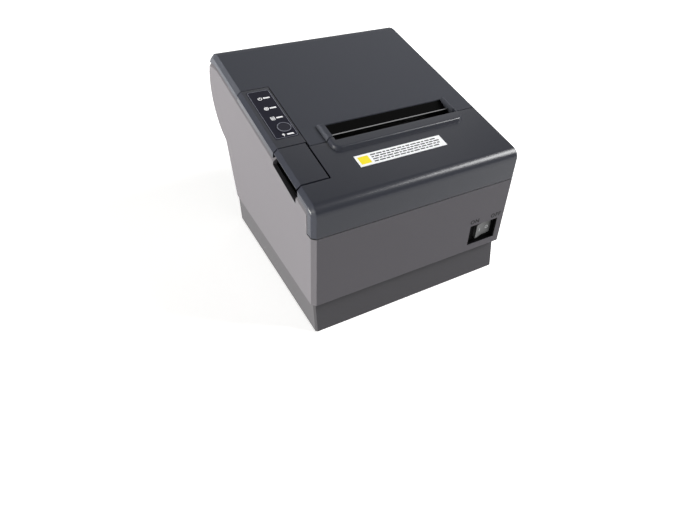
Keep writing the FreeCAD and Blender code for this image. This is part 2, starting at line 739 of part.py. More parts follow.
def make_feet_and_screws():
    inset = S.tray_inset + S.foot_radius + FOOT_SIDE
    back = S.depth - S.tray_rear_inset - S.foot_radius - FOOT_REAR
    feet = [
        rod("foot_%d_%d" % (i, j), "z", (across(x), along(y), 0), S.foot_radius, S.tray_lift)
        for i, x in enumerate((inset, S.width - inset))
        for j, y in enumerate((S.foot_radius + FOOT_FRONT, back))
    ]
    node("rubber_feet", group("rubber_feet", *feet))
    seat_head = SCREW_SEAT - S.screw_head_height
    screws = []
    for index, (x, y) in enumerate(screw_places()):
        head = rod("screw_head_%d" % index, "z", (x, y, seat_head), S.screw_head, S.screw_head_height)
        shank_length = S.base_height + S.rim_thickness + 1 - SCREW_SEAT
        shank = rod("screw_shank_%d" % index, "z", (x, y, SCREW_SEAT), S.screw, shank_length)
        screws.append(fuse("screw_%d" % index, head, shank))
    node("case_screws", group("case_screws", *screws))


def make_slot_rim():
    """Raised rim round the paper slot, whole, before it is shared between the two covers."""
    body = new_body("rim_body", True)
    corner = S.rim_corner
    left = across(S.slot_left - S.rim_left)
    right = across(S.slot_right + S.rim_right)
    outline = [
        (left, S.rim_back),
        (left, S.rim_front + corner),
        (left + corner, S.rim_front, corner, 1),
        (right - corner, S.rim_front),
        (right, S.rim_front + corner, corner, 1),
        (right, S.rim_back),
    ]
    root = sketch(body, "rim_outline", "XY_Plane", -S.rim_root, outline)
    slant = pad(body, "rim_slant", root, S.rim_height + S.rim_root, S.rim_draft)
    round_top(body, "rim_top", slant, S.rim_height, S.rim_round)
    return body


def make_rear_cover(rim):
    body = new_body("cover_body")
    start = SPLIT_BACK + S.cover_gap
    inside = S.bulge_radius - S.shell
    section = [
        (along(start), top_z(start)),
        deck(ROUND_ALONG, as_size(0)),
        bulge_joint(as_size(0)) + (S.rear_round, -1),
        on_bulge(S.bulge_radius, S.hinge_angle) + (S.bulge_radius, -1),
        on_bulge(inside, S.hinge_angle),
        bulge_joint(S.shell) + (inside, 1),
        deck(ROUND_ALONG, -S.shell) + (S.rear_round - S.shell, 1),
        (along(start), top_z(start) - S.shell / COS),
    ]
    shell = sketch(body, "cover_section", "YZ_Plane", across(COVER_SIDE), section)
    pad(body, "cover_shell", shell, S.width - 2 * COVER_SIDE)
    raised = SEAM_RADIUS + S.seam_gap
    flange = [
        (along(start), top_z(start)),
        deck(ROUND_ALONG, as_size(0)),
        bulge_joint(as_size(0)) + (S.rear_round, -1),
        seam_end(raised) + (S.bulge_radius, -1),
        deck(HINGE_ALONG, S.seam_gap - S.seam_depth) + (raised, 1),
        (along(start), top_z(start) - (S.seam_depth - S.seam_gap) / COS),
    ]
    left = sketch(body, "cover_left", "YZ_Plane", across(0), flange)
    pad(body, "cover_left_flange", left, COVER_SIDE)
    right = sketch(body, "cover_right", "YZ_Plane", across(S.width - COVER_SIDE), flange)
    flanged = pad(body, "cover_right_flange", right, COVER_SIDE)
    seam = S.seam_depth.value - S.edge_bevel.value

    def on_top(middle):
        rise = on_deck(as_size(middle.y + S.depth.value / 2), as_size(middle.z))[1].value
        behind = middle.y > HINGE_Y.value and middle.z > HINGE_Z.value + raised.value
        return abs(rise) < 0.01 or (behind and rise > -seam - S.rear_round.value)

    bevel_edges(body, "cover_edges", flanged, S.width / 2, S.edge_bevel, on_top)
    high = S.top_front + S.depth
    slot = rectangle((across(S.slot_left), along(0)), (across(S.slot_right), along(S.slot_back * COS)))
    pocket(body, "slot_notch", sketch(body, "slot_cut_out", "XY_Plane", high, slot), high)
    before = box(
        "rim_before_split",
        (across(0), along(0), S.base_height),
        (across(S.width), along(start), high),
    )
    inside_slot = box(
        "rim_inside_slot",
        (across(S.slot_left), along(0), S.base_height),
        (across(S.slot_right), along(S.depth), high),
    )
    ridges = cut("cover_rim", rim, before, inside_slot)
    barrel_width = S.width - 2 * COVER_SIDE
    barrel = rod("cover_barrel", "x", (across(COVER_SIDE), HINGE_Y, HINGE_Z), S.hinge_barrel, barrel_width)
    hole = rod("cover_pin_hole", "x", (across(0), HINGE_Y, HINGE_Z), S.hinge_pin + S.running_fit, S.width)
    panel = deck_box(
        "panel_notch",
        (across(-1), 0, -2 * S.seam_depth),
        (across(S.lever_width + S.cover_gap), S.panel_back + S.cover_gap, S.seam_depth),
    )
    node("rear_cover", cut("rear_cover", fuse("cover_with_barrel", body, barrel, ridges), hole, panel))
    pins = [
        rod("hinge_pin_left", "x", (across(S.pin_inset), HINGE_Y, HINGE_Z), S.hinge_pin, S.hinge_pin_length),
        rod(
            "hinge_pin_right", "x", (across(S.width - S.pin_inset - S.hinge_pin_length), HINGE_Y, HINGE_Z),
            S.hinge_pin, S.hinge_pin_length,
        ),
    ]
    node("cover_hinge_pins", group("cover_hinge_pins", *pins))


def make_front_cover(rim):
    body = new_body("front_body")
    strip = S.corner_strip - S.seam_gap
    drop = (S.seam_depth - S.seam_gap) / COS
    centre_z = S.top_front + FRONT_ALONG * SIN - S.front_round * COS
    side = [
        (along(0), S.front_seam),
        (along(0), centre_z),
        deck(FRONT_ALONG, as_size(0)) + (S.front_round, -1),
        (along(SPLIT_BACK), top_z(SPLIT_BACK)),
        (along(SPLIT_BACK), top_z(SPLIT_BACK) - drop),
        (along(strip), top_z(strip) - drop),
        (along(strip), S.front_seam),
    ]
    block = pad(body, "front_block", sketch(body, "front_side", "YZ_Plane", across(0), side), S.width)
    split = along(SPLIT_BACK).value
    back_strip = along(strip).value
    low = S.front_seam.value

    def outer_edge(middle):
        rise = on_deck(as_size(middle.y + S.depth.value / 2), as_size(middle.z))[1].value
        corner = middle.y < back_strip - 0.01 and middle.z > low + 0.01
        return middle.y < split - 0.01 and (corner or rise > -0.01)

    bevel_edges(body, "front_edges", block, S.width / 2, S.edge_bevel, outer_edge)
    deep = SPLIT_BACK + S.wall
    inner = [
        (along(S.shell), S.base_height),
        (along(S.shell), centre_z),
        deck(FRONT_ALONG, -S.shell) + (S.front_round - S.shell, -1),
        (along(deep), top_z(deep) - S.shell / COS),
        (along(deep), S.base_height),
    ]
    room = sketch(body, "front_room", "YZ_Plane", across(INNER), inner)
    pocket(body, "front_hollow", room, S.width - 2 * S.wall)
    lever = rectangle(
        (across(-1), along((S.lever_front - S.cover_gap) * COS)),
        (across(S.lever_width), along(SPLIT_BACK + S.wall)),
    )
    high = S.top_front + S.depth
    pocket(body, "lever_notch", sketch(body, "lever_cut_out", "XY_Plane", high, lever), high)
    behind = box(
        "rim_behind_split",
        (across(0), along(SPLIT_BACK), S.base_height),
        (across(S.width), along(SPLIT_BACK + S.depth), high),
    )
    slot = deck_box(
        "front_slot",
        (across(S.slot_left), S.slot_front, -2 * S.seam_depth),
        (across(S.slot_right), S.slot_back, 2 * S.rim_height),
    )
    rimmed = fuse("front_with_rim", body, cut("front_rim", rim, behind))
    node("front_cover", cut("front_cover", rimmed, slot))
    label = deck_box(
        "blank_label",
        (across(S.label_left), S.label_front, 0),
        (across(S.label_left + S.label_length), S.label_front + S.label_width, S.film),
    )
    node("blank_label", label)


def make_panel():
    body = new_body("panel_body", True)
    right = S.lever_width
    inner_slant = 1.5
    section = [
        (across(0), -S.seam_depth),
        (across(0), -S.edge_bevel),
        (across(S.edge_bevel), 0),
        (across(right), 0),
        (across(right), -S.shell),
        (across(S.wall + inner_slant), -S.shell),
        (across(S.wall), -S.shell - inner_slant),
        (across(S.wall), -S.seam_depth),
    ]
    front = S.panel_front + S.seam_gap
    profile = sketch(body, "panel_section", "XZ_Plane", -S.panel_back, section)
    pad(body, "panel_plate", profile, S.panel_back - front)
    board_top = -S.shell - S.panel_board_drop
    post_radius = 1.6
    post_root = 0.5
    post_x = across(S.overlay_right - 2)
    posts = [
        rod("panel_post_%d" % index, "square", (post_x,) + deck(place_along, board_top),
            post_radius, S.panel_board_drop + post_root)
        for index, place_along in enumerate((S.overlay_front + 1, S.overlay_back - 3))
    ]
    centre = across(S.button_across)
    hole_radius = S.button_radius + 0.2
    hole = rod(
        "panel_button_hole", "square", (centre,) + deck(S.button_along, -S.seam_depth),
        hole_radius, S.seam_depth + THROUGH,
    )
    node("control_panel_frame", cut("control_panel_frame", fuse("panel_with_posts", body, *posts), hole))
    film = deck_box(
        "overlay_film",
        (across(S.overlay_left), S.overlay_front, 0),
        (across(S.overlay_right), S.overlay_back, S.film),
    )
    film_hole = rod(
        "overlay_button_hole", "square", (centre,) + deck(S.button_along, as_size(-THROUGH)),
        hole_radius, S.film + 2 * THROUGH,
    )
    node("panel_overlay", cut("panel_overlay", film, film_hole))
    flange_gap = 0.15
    flange_height = 0.6
    flange_rim = 0.9
    cap_proud = 0.35
    cap_rise = S.film + cap_proud
    flange_low = -S.shell - flange_gap - flange_height
    flange_start = (centre,) + deck(S.button_along, flange_low)
    cap = rod("button_cap", "square", flange_start, S.button_radius, cap_rise - flange_low)
    flange = rod("button_flange", "square", flange_start, S.button_radius + flange_rim, flange_height)
    node("feed_button", fuse("feed_button", cap, flange))
    left_gap = 0.8
    right_gap = 0.6
    front_lap = 0.5
    board = deck_box(
        "panel_board",
        (across(S.wall + left_gap), S.overlay_front - front_lap, board_top - S.board),
        (across(S.lever_width - right_gap), S.overlay_back, board_top),
    )
    node("panel_board", board)
    switch_gap = 0.1
    switch_top = flange_low - S.button_travel - switch_gap
    switch_half = 3.0
    switch = deck_box(
        "feed_switch",
        (centre - switch_half, S.button_along - switch_half, board_top),
        (centre + switch_half, S.button_along + switch_half, switch_top),
    )
    node("feed_switch", switch)
    light_radius, light_height = 1.2, 2.6
    light_start, light_step = 8.0, 10.5
    lights_x = across(S.overlay_left + 2.5)
    lights = []
    for index in range(3):
        place_along = S.overlay_back - light_start - index * light_step
        start = (lights_x,) + deck(place_along, board_top)
        lights.append(rod("light_%d" % index, "square", start, light_radius, light_height))
    node("status_leds", group("status_leds", *lights))


def make_lever():
    body = new_body("lever_body", True)
    barrel = S.lever_barrel
    edge = across(S.lever_gap)
    skirt = 2.0
    section = [
        (edge, -S.edge_bevel - S.lever_land),
        (edge, -S.edge_bevel),
        (edge + S.edge_bevel, 0),
        (across(LEVER_AXIS + barrel - S.lever_bevel), 0),
        (across(LEVER_AXIS + barrel), -S.lever_bevel_drop),
        (across(LEVER_AXIS + barrel), -barrel),
        (across(LEVER_AXIS), -2 * barrel, barrel, -1),
        (across(LEVER_AXIS - barrel), -barrel),
        (edge + skirt, -S.shell),
    ]
    front = S.lever_front + S.seam_gap
    back = S.panel_front - S.seam_gap
    profile = sketch(body, "lever_section", "XZ_Plane", -back, section)
    pad(body, "lever_plate", profile, back - front)
    ears = ear_places()
    clear = 0.6
    tools = [
        deck_box(
            "lever_relief_%d" % index,
            (across(LEVER_AXIS - barrel - clear), start - clear, -S.seam_depth),
            (across(S.lever_width + THROUGH), start + S.ear_length + clear, -barrel / 2),
        )
        for index, start in enumerate(ears)
    ]
    pin_start = (across(LEVER_AXIS),) + deck(ears[0], -barrel)
    pin_length = ears[1] + S.ear_length - ears[0]
    tools.append(rod("lever_pin_hole", "along", pin_start, S.lever_pin + S.running_fit, pin_length))
    tab_front, tab_back = front + 5, front + 11
    tab_gap = 0.3
    tab_drop = 0.5
    tab = deck_box(
        "lever_tab",
        (across(LEVER_AXIS), tab_front, -S.seam_depth + tab_gap),
        (across(S.crank_left + CRANK), tab_back, -S.shell - tab_drop),
    )
    node("open_lever", cut("open_lever", fuse("lever_with_tab", body, tab), *tools))
    node("lever_pin", rod("lever_pin", "along", pin_start, S.lever_pin, pin_length))
    floor_low = -S.recess_depth - 1.5
    side_gap, end_gap, overhang = 0.3, 0.6, 1.5
    floor = deck_box(
        "recess_floor",
        (across(S.wall + side_gap), S.lever_front + end_gap, floor_low),
        (across(S.lever_width + overhang), S.panel_front - end_gap, -S.recess_depth),
    )
    strap = deck_box(
        "recess_strap",
        (across(LEVER_AXIS), S.frame_front + 1, floor_low),
        (across(S.frame_left), S.lever_front + 3, -S.recess_depth),
    )
    ear_half, ear_root, ear_top = 1.2, 0.5, 0.3
    posts = [
        deck_box(
            "lever_ear_%d" % index,
            (across(LEVER_AXIS - ear_half), start, -S.recess_depth - ear_root),
            (across(LEVER_AXIS + ear_half), start + S.ear_length, -barrel + ear_top),
        )
        for index, start in enumerate(ears)
    ]
    bed = rod("lever_pin_bed", "along", pin_start, S.lever_pin + S.press_fit, pin_length)
    node("lever_bracket", cut("lever_bracket", fuse("bracket_with_ears", floor, strap, *posts), bed))


def ear_places():
    """Starts of the two lever bracket ears along the deck."""
    return S.lever_front + EAR_FRONT_GAP, S.panel_front - EAR_BACK_GAP - S.ear_length


def make_latch():
    left = across(S.crank_left)
    length = PLATE_IN_RIGHT - S.crank_left
    shaft_y, shaft_z = along(S.latch_back), S.latch_height
    bar = rod("latch_bar", "x", (left, shaft_y, shaft_z), S.latch_radius, length)
    place_along, rise = on_deck(S.latch_back, S.latch_height)
    body = new_body("crank_body", True)
    half = 2.0
    slant = 1.0
    tip_front = 1.5
    tip_along = S.lever_front + 8.3
    tip = -S.seam_depth
    crank = [
        (place_along - half, rise - slant),
        (place_along + half, rise + slant),
        (tip_along + half, tip),
        (tip_along - tip_front, tip),
    ]
    pad(body, "crank_plate", sketch(body, "crank_side", "YZ_Plane", left, crank), CRANK)
    node("latch_shaft", fuse("latch_shaft", bar, body))
    reach = S.platen_back - S.platen_shaft - HOOK_PLAY
    left_hook = ARM_LEFT + S.arm + HOOK_PLAY
    right_hook = ARM_RIGHT - S.arm - HOOK_PLAY - S.hook_width
    hooks = []
    for name, side in (("left", left_hook), ("right", right_hook)):
        hook = new_body("hook_body_" + name)
        shape = [
            (shaft_y - 1, shaft_z - 3.4),
            (shaft_y + 3, shaft_z - 2.4),
            (along(reach - 3), S.platen_height - 2),
            (along(reach), S.platen_height + 0.2),
            (along(reach - 0.3), S.platen_height + 2),
            (along(reach - 4), S.platen_height + 2),
            (shaft_y - 3, shaft_z + 2.4),
        ]
        outline = sketch(hook, "hook_side_" + name, "YZ_Plane", across(side), shape)
        pad(hook, "hook_plate_" + name, outline, S.hook_width)
        hole = rod("hook_hole_" + name, "x", (across(side), shaft_y, shaft_z), S.latch_radius, S.hook_width)
        hooks.append(cut("hook_" + name, hook, hole))
    node("latch_hooks", group("latch_hooks", *hooks))


def make_switch():
    lap = 1.0
    low = (across(S.switch_left - lap), along(S.wall), S.switch_bottom - lap)
    high = (across(S.switch_right + lap), along(S.wall + S.switch_depth), S.switch_top + lap)
    block = box("switch_block", low, high)
    aside, above = 1.8, 0.5
    middle_x = across((S.switch_left + S.switch_right) / 2 + aside)
    middle_z = (S.switch_bottom + S.switch_top) / 2 + above
    side_play, end_play = 0.6, 0.4
    half_width = S.rocker_width / 2 + side_play
    half_height = S.rocker_height / 2 + end_play
    room_depth = 8.0
    room = box(
        "rocker_room",
        (middle_x - half_width, along(S.wall), middle_z - half_height),
        (middle_x + half_width, along(S.wall + room_depth), middle_z + half_height),
    )
    valley, edge, back = 2.2, 2.8, 1.5
    axis_y = along(S.wall + valley)
    pin_radius, pin_root = 1.0, 1.5
    pin_low = middle_z - half_height - pin_root
    pin = rod("rocker_pin", "z", (middle_x, axis_y, pin_low), pin_radius, 2 * (half_height + pin_root))
    node("power_switch_housing", fuse("power_switch_housing", cut("switch_shell", block, room), pin))
    body = new_body("rocker_body")
    half = S.rocker_width / 2
    face = [
        (-half, back),
        (-half, -edge),
        (0, -valley),
        (half, -edge),
        (half, back),
    ]
    top = sketch(body, "rocker_outline", "XY_Plane", -S.rocker_height / 2, face)
    pad(body, "rocker_plate", top, S.rocker_height)
    place(body, (middle_x, axis_y, middle_z), Vector(0, 0, 1), S.rocker_tilt)
    start = (middle_x, axis_y, S.switch_bottom)
    hole = rod("rocker_hole", "z", start, pin_radius + S.running_fit, S.switch_top - S.switch_bottom)
    node("power_rocker", cut("power_rocker", body, hole))


def make_platen():
    def spindle(name, left, right, radius):
        return rod(name, "x", (across(left), PLATEN_Y, S.platen_height), radius, right - left)

    end_gap = 1.2
    roller_left = ARM_LEFT + S.arm + S.hook_width + end_gap
    roller_right = ARM_RIGHT - S.arm - S.hook_width - end_gap
    shaft_left = FEED_GEAR_LEFT
    shaft = spindle("platen_shaft", shaft_left, S.frame_right, S.platen_shaft)
    node("platen_shaft", shaft)
    bore = spindle("platen_bore", shaft_left - THROUGH, S.frame_right + THROUGH, S.platen_shaft + S.press_fit)
    rubber = spindle("platen_rubber", roller_left, roller_right, S.platen_radius)
    node("platen_roller", cut("platen_roller", rubber, bore))
    # A gap between two teeth points at the reduction gear.
    down = 270 - S.idler_lean.value
    half_tooth = 180 / S.platen_teeth.value
    start = (across(FEED_GEAR_LEFT), PLATEN_Y, S.platen_height)
    turn = down + half_tooth
    gear = gear_blank("platen_gear_blank", S.feed_module, S.platen_teeth, S.gear_width, start, turn)
    node("platen_gear", cut("platen_gear", gear, bore))
    turning_radius = S.platen_shaft + S.running_fit
    turning = spindle("bush_bore", S.frame_left - THROUGH, S.frame_right + THROUGH, turning_radius)
    right_arm = ARM_RIGHT - S.arm
    bushes = [
        cut("bush_left", spindle("bush_left_ring", S.frame_left, ARM_LEFT + S.arm, S.bush_radius), turning),
        cut("bush_right", spindle("bush_right_ring", right_arm, S.frame_right, S.bush_radius), turning),
    ]
    node("platen_bushes", group("platen_bushes", *bushes))
    arm_front, arm_back, arm_below = 4.8, 9.0, 3.0
    arms = [
        deck_box(
            "cover_arm_%d" % index,
            (across(left), PLATEN_ALONG - arm_front, PLATEN_RISE - arm_below),
            (across(left + S.arm), PLATEN_ALONG + arm_back, -S.shell),
        )
        for index, left in enumerate((ARM_LEFT, ARM_RIGHT - S.arm))
    ]
    liner_thickness, liner_lap = 2.2, 2.0
    liner = deck_box(
        "slot_liner",
        (across(ARM_LEFT), S.tear_edge + S.tear_lip, -S.shell - liner_thickness),
        (across(ARM_RIGHT), S.slot_back + liner_lap, -S.shell),
    )
    insert_end = S.slot_back - S.cover_gap
    ramp = [
        (S.tear_edge + S.tear_lip, -S.shell),
        (insert_end, -S.shell),
        (insert_end, -S.insert_drop),
    ]
    insert = new_body("insert_body", True)
    ramp_side = sketch(insert, "insert_section", "YZ_Plane", across(S.slot_left + S.seam_gap), ramp)
    pad(insert, "slot_insert", ramp_side, S.slot_right - S.slot_left - 2 * S.seam_gap)
    seats = spindle("bush_seats", ARM_LEFT - THROUGH, ARM_RIGHT + THROUGH, S.bush_radius + S.press_fit)
    node("cover_inner_frame", cut("cover_inner_frame", fuse("arms_and_liner", liner, insert, *arms), seats))
    blade_low = -S.blade_depth + S.blade + S.blade_gap
    blade_left = ARM_LEFT + S.arm
    flat = deck_box(
        "fixed_blade_flat",
        (across(blade_left), S.tear_edge, blade_low),
        (across(ARM_RIGHT - S.arm), S.slot_back, blade_low + S.blade),
    )
    lip = deck_box(
        "fixed_blade_lip",
        (across(blade_left), S.tear_edge, blade_low),
        (across(ARM_RIGHT - S.arm), S.tear_edge + S.tear_lip, -S.insert_drop),
    )
    node("fixed_blade", fuse("fixed_blade", flat, lip))


def make_mechanism_frame():
    top_margin = 1.0
    plate_top = S.platen_height - top_margin
    plates = [
        box(
            "frame_plate_%d" % index,
            (across(left), along(S.frame_front), TRAY_TOP_FLOOR),
            (across(left + S.plate), along(S.frame_back), plate_top),
        )
        for index, left in enumerate((S.frame_left, PLATE_IN_RIGHT))
    ]
    floor_inset = 10.0
    wall_margin = 0.7
    floor = box(
        "frame_floor",
        (across(S.frame_left), along(S.frame_front + floor_inset), TRAY_TOP_FLOOR),
        (across(S.frame_right), along(S.frame_back), TRAY_TOP_FLOOR + S.plate),
    )
    wall = box(
        "frame_wall",
        (across(S.frame_left), along(SPRING_WALL - S.plate), S.latch_height),
        (across(S.frame_right), along(SPRING_WALL), S.spring_height + S.spring_radius + wall_margin),
    )
    width = S.frame_right - S.frame_left + 2 * THROUGH
    left = across(S.frame_left - THROUGH)

    def bore(name, back, height, radius):
        return rod(name, "x", (left, along(back), height), radius, width)

    deep = S.plate + 2 * THROUGH
    motor_play = 1.0
    tools = [
        bore("frame_platen_seat", S.platen_back, S.platen_height, S.bush_radius + S.running_fit),
        bore("frame_head_hole", (SINK_FRONT + SINK_BACK) / 2, S.head_pin_height, S.head_pin + S.press_fit),
        bore("frame_latch_hole", S.latch_back, S.latch_height, S.latch_radius + S.running_fit),
        rod("frame_motor_hole", "x", (left, along(MOTOR_BACK), MOTOR_HEIGHT), S.stud + motor_play, deep),
        rod("frame_stud_hole", "x", (left, along(IDLER_BACK), IDLER_HEIGHT), S.stud + S.press_fit, deep),
    ]
    node("mechanism_frame", cut("mechanism_frame", fuse("frame_sheets", floor, wall, *plates), *tools))
    pin_start = (across(S.frame_left), along((SINK_FRONT + SINK_BACK) / 2), S.head_pin_height)
    node("head_pivot_pin", rod("head_pivot_pin", "x", pin_start, S.head_pin, S.frame_right - S.frame_left))
    head_inset = 4.5
    head_left = across(S.slot_left + head_inset)
    head_right = across(S.slot_right - head_inset)
    sink = box(
        "sink_block",
        (head_left, along(SINK_FRONT), S.head_bottom),
        (head_right, along(SINK_BACK), S.head_top),
    )
    sink_hole = bore("sink_hole", (SINK_FRONT + SINK_BACK) / 2, S.head_pin_height, S.head_pin + S.running_fit)
    node("head_heat_sink", cut("head_heat_sink", sink, sink_hole))
    ceramic_start = 5.0
    ceramic = box(
        "print_head",
        (head_left, along(SINK_BACK), S.head_bottom + ceramic_start),
        (head_right, along(HEAD_BACK), S.head_top),
    )
    node("print_head", ceramic)
    spring_inset = 18.0
    wire = 0.6
    middle = (S.slot_left + S.slot_right) / 2
    springs = []
    for index, side in enumerate((S.slot_left + spring_inset, middle, S.slot_right - spring_inset)):
        start = (across(side), along(SPRING_WALL), S.spring_height)
        outer = rod("spring_outer_%d" % index, "y", start, S.spring_radius, S.spring_length)
        inner = rod("spring_inner_%d" % index, "y", start, S.spring_radius - wire, S.spring_length)
        springs.append(cut("spring_%d" % index, outer, inner))
    node("head_springs", group("head_springs", *springs))


def make_feed_drive():
    motor_start = (across(PLATE_IN_LEFT), along(MOTOR_BACK), MOTOR_HEIGHT)
    can = rod("motor_can", "x", motor_start, S.motor_radius, S.motor_length)
    end_wall, shaft_gap = 2.0, 4.0
    nose = rod("motor_bore", "x", motor_start, S.stud + S.running_fit, S.motor_length - end_wall)
    node("feed_motor", cut("feed_motor", can, nose))
    stud_left = IDLER_GEAR_LEFT - S.gear_gap
    stud_start = (across(stud_left), along(IDLER_BACK), IDLER_HEIGHT)
    node("gear_stud", rod("gear_stud", "x", stud_start, S.stud, S.frame_left + S.plate - stud_left))
    # A tooth of the small wheel points at the platen gear, a gap of the large one at the motor.
    up = 90 - S.idler_lean.value
    small_start = (across(FEED_GEAR_LEFT), along(IDLER_BACK), IDLER_HEIGHT)
    small = gear_blank("idler_small", S.feed_module, S.idler_small_teeth, S.gear_width, small_start, up)
    large_start = (across(IDLER_GEAR_LEFT), along(IDLER_BACK), IDLER_HEIGHT)
    to_motor = 270 - S.motor_lean.value
    half_tooth = 180 / S.idler_large_teeth.value
    large = gear_blank(
        "idler_large", S.motor_module, S.idler_large_teeth, S.gear_width - S.gear_gap,
        large_start, to_motor + half_tooth,
    )
    neck_start = (across(IDLER_GEAR_LEFT), along(IDLER_BACK), IDLER_HEIGHT)
    neck_wall, neck_lap = 1.2, 0.5
    neck = rod("idler_neck", "x", neck_start, S.stud + neck_wall, S.gear_width + neck_lap)
    bore = rod("idler_bore", "x", stud_start, S.stud + S.running_fit, 3 * S.gear_width)
    node("reduction_gear", cut("reduction_gear", fuse("idler_wheels", small, large, neck), bore))
    pinion_start = (across(IDLER_GEAR_LEFT), along(MOTOR_BACK), MOTOR_HEIGHT)
    pinion = gear_blank(
        "motor_pinion_blank", S.motor_module, S.pinion_teeth, S.gear_width - S.gear_gap,
        pinion_start, 90 - S.motor_lean.value,
    )
    shaft_end = PLATE_IN_LEFT + S.motor_length - shaft_gap
    shaft = rod("motor_shaft", "x", pinion_start, S.stud, shaft_end - IDLER_GEAR_LEFT)
    node("motor_pinion", fuse("motor_pinion", pinion, shaft))


def make_cutter():
    bed_front, bed_back = 6.0, 5.6
    bed = deck_box(
        "cutter_bed",
        (across(PLATE_IN_LEFT), S.cutter_along - bed_front, -FRAME_LOW_DROP),
        (across(PLATE_IN_RIGHT), S.blade_tip - bed_back, -FRAME_TOP_DROP),
    )
    rack_play, window_front, window_back = 1.0, 20.0, 8.0
    rack_right = S.rack_left + S.rack_width
    window = deck_box(
        "cutter_window",
        (across(S.rack_left - rack_play), S.cutter_along - window_front, -FRAME_LOW_DROP - THROUGH),
        (across(rack_right + rack_play), S.blade_tip - window_back, -FRAME_TOP_DROP + THROUGH),
    )
    node("cutter_frame", cut("cutter_frame", bed, window))
    side = 2.6
    blade_root = 2.0
    blade = deck_box(
        "moving_blade",
        (across(ARM_LEFT + S.arm + side), S.cutter_along + blade_root, -S.blade_depth),
        (across(ARM_RIGHT - S.arm - side), S.blade_tip, -S.blade_depth + S.blade),
    )
    node("moving_blade", blade)
    carrier_side = side + 1
    carrier_front, carrier_back = 4.0, 14.6
    plate = deck_box(
        "carrier_plate",
        (across(ARM_LEFT + S.arm + carrier_side), S.cutter_along - carrier_front, -CARRIER_LOW),
        (across(ARM_RIGHT - S.arm - carrier_side), S.blade_tip - carrier_back, -S.blade_depth),
    )
    node("blade_carrier", fuse("blade_carrier", plate, make_rack()))
    start_y, start_z = deck(S.cutter_along, -CUTTER_DROP)
    # A tooth points at the rack, square to the deck.
    pinion = gear_blank(
        "cutter_pinion_blank", S.cutter_module, S.pinion_teeth, S.rack_width,
        (across(S.rack_left), start_y, start_z), 90 + S.slope.value,
    )
    shaft_reach = 3.0
    shaft_left = S.rack_left - shaft_reach
    shaft_length = S.rack_width + shaft_reach - 1
    shaft = rod("cutter_shaft", "x", (across(shaft_left), start_y, start_z), S.stud, shaft_length)
    node("cutter_pinion", fuse("cutter_pinion", pinion, shaft))
    motor_left = shaft_left - S.cutter_motor_length
    can = rod(
        "cutter_motor", "x", (across(motor_left), start_y, start_z),
        S.cutter_motor_radius, S.cutter_motor_length,
    )
    node("cutter_motor", can)


def make_rack():
    """Bar under the carrier with trapezoid teeth, a gap above the pinion."""
    pitch = math.pi * S.cutter_module.value
    tip = -RACK_PITCH.value - S.cutter_module.value
    root_line = -RACK_PITCH.value + DEDENDUM * S.cutter_module.value
    slant = math.tan(math.radians(PRESSURE_ANGLE))
    tip_half = pitch / 4 - S.cutter_module.value * slant
    root_half = pitch / 4 + DEDENDUM * S.cutter_module.value * slant
    points = []
    for index in range(-5, 2):
        middle = S.cutter_along.value + (index + 0.5) * pitch
        points += [(middle - root_half, root_line), (middle - tip_half, tip)]
        points += [(middle + tip_half, tip), (middle + root_half, root_line)]
    top = -CARRIER_LOW.value
    points += [(points[-1][0], top), (points[0][0], top)]
    ring = [Vector(0, place_along, rise) for place_along, rise in points]
    profile = doc.addObject("Part::Feature", "rack_profile")
    profile.Shape = Part.makePolygon(ring + ring[:1])
    bar = doc.addObject("Part::Extrusion", "rack")
    bar.Base = profile
    bar.DirMode = "Custom"
    bar.Dir = Vector(1, 0, 0)
    bar.Solid = True
    bind(bar, "LengthFwd", S.rack_width)
    return place(bar, (across(S.rack_left),) + deck(as_size(0), as_size(0)), Vector(1, 0, 0), S.slope)


def make_bucket():
    left = S.bucket_left - S.bucket_wall
    right = S.bucket_right + S.bucket_wall
    middle = (along(S.bucket_back), S.bucket_height)
    drum = rod("bucket_drum", "x", (across(left),) + middle, S.bucket_outer, right - left)
    room = rod(
        "bucket_room", "x", (across(S.bucket_left),) + middle, S.bucket_radius, S.bucket_right - S.bucket_left
    )
    legs = [
        box(
            "bucket_leg_%d" % index,
            (across(side), along(S.bucket_back - S.leg_reach), TRAY_TOP_FLOOR),
            (across(side + S.bucket_wall), along(S.bucket_back + S.leg_reach), S.bucket_height),
        )
        for index, side in enumerate((left, S.bucket_right))
    ]
    above = box(
        "bucket_above",
        (across(0), along(0), S.bucket_rim),
        (across(S.width), along(S.depth), S.bucket_rim + S.bucket_radius),
    )
    node("paper_bucket", cut("paper_bucket", fuse("bucket_with_legs", drum, *legs), room, above))
    half, thickness = 6.0, 4.0
    sensor_low, sensor_high = S.bucket_height - 20, S.bucket_height - 12
    sensor = box(
        "near_end_sensor",
        (across(right), along(S.bucket_back - half), sensor_low),
        (across(right + thickness), along(S.bucket_back + half), sensor_high),
    )
    node("near_end_sensor", sensor)
    switch_width, switch_low, switch_high = 5.0, S.platen_height - 12, S.platen_height - 3
    switch_front, switch_back = S.frame_back - 12, S.frame_back - 2
    switch = box(
        "cover_switch",
        (across(S.frame_right), along(switch_front), switch_low),
        (across(S.frame_right + switch_width), along(switch_back), switch_high),
    )
    node("cover_switch", switch)


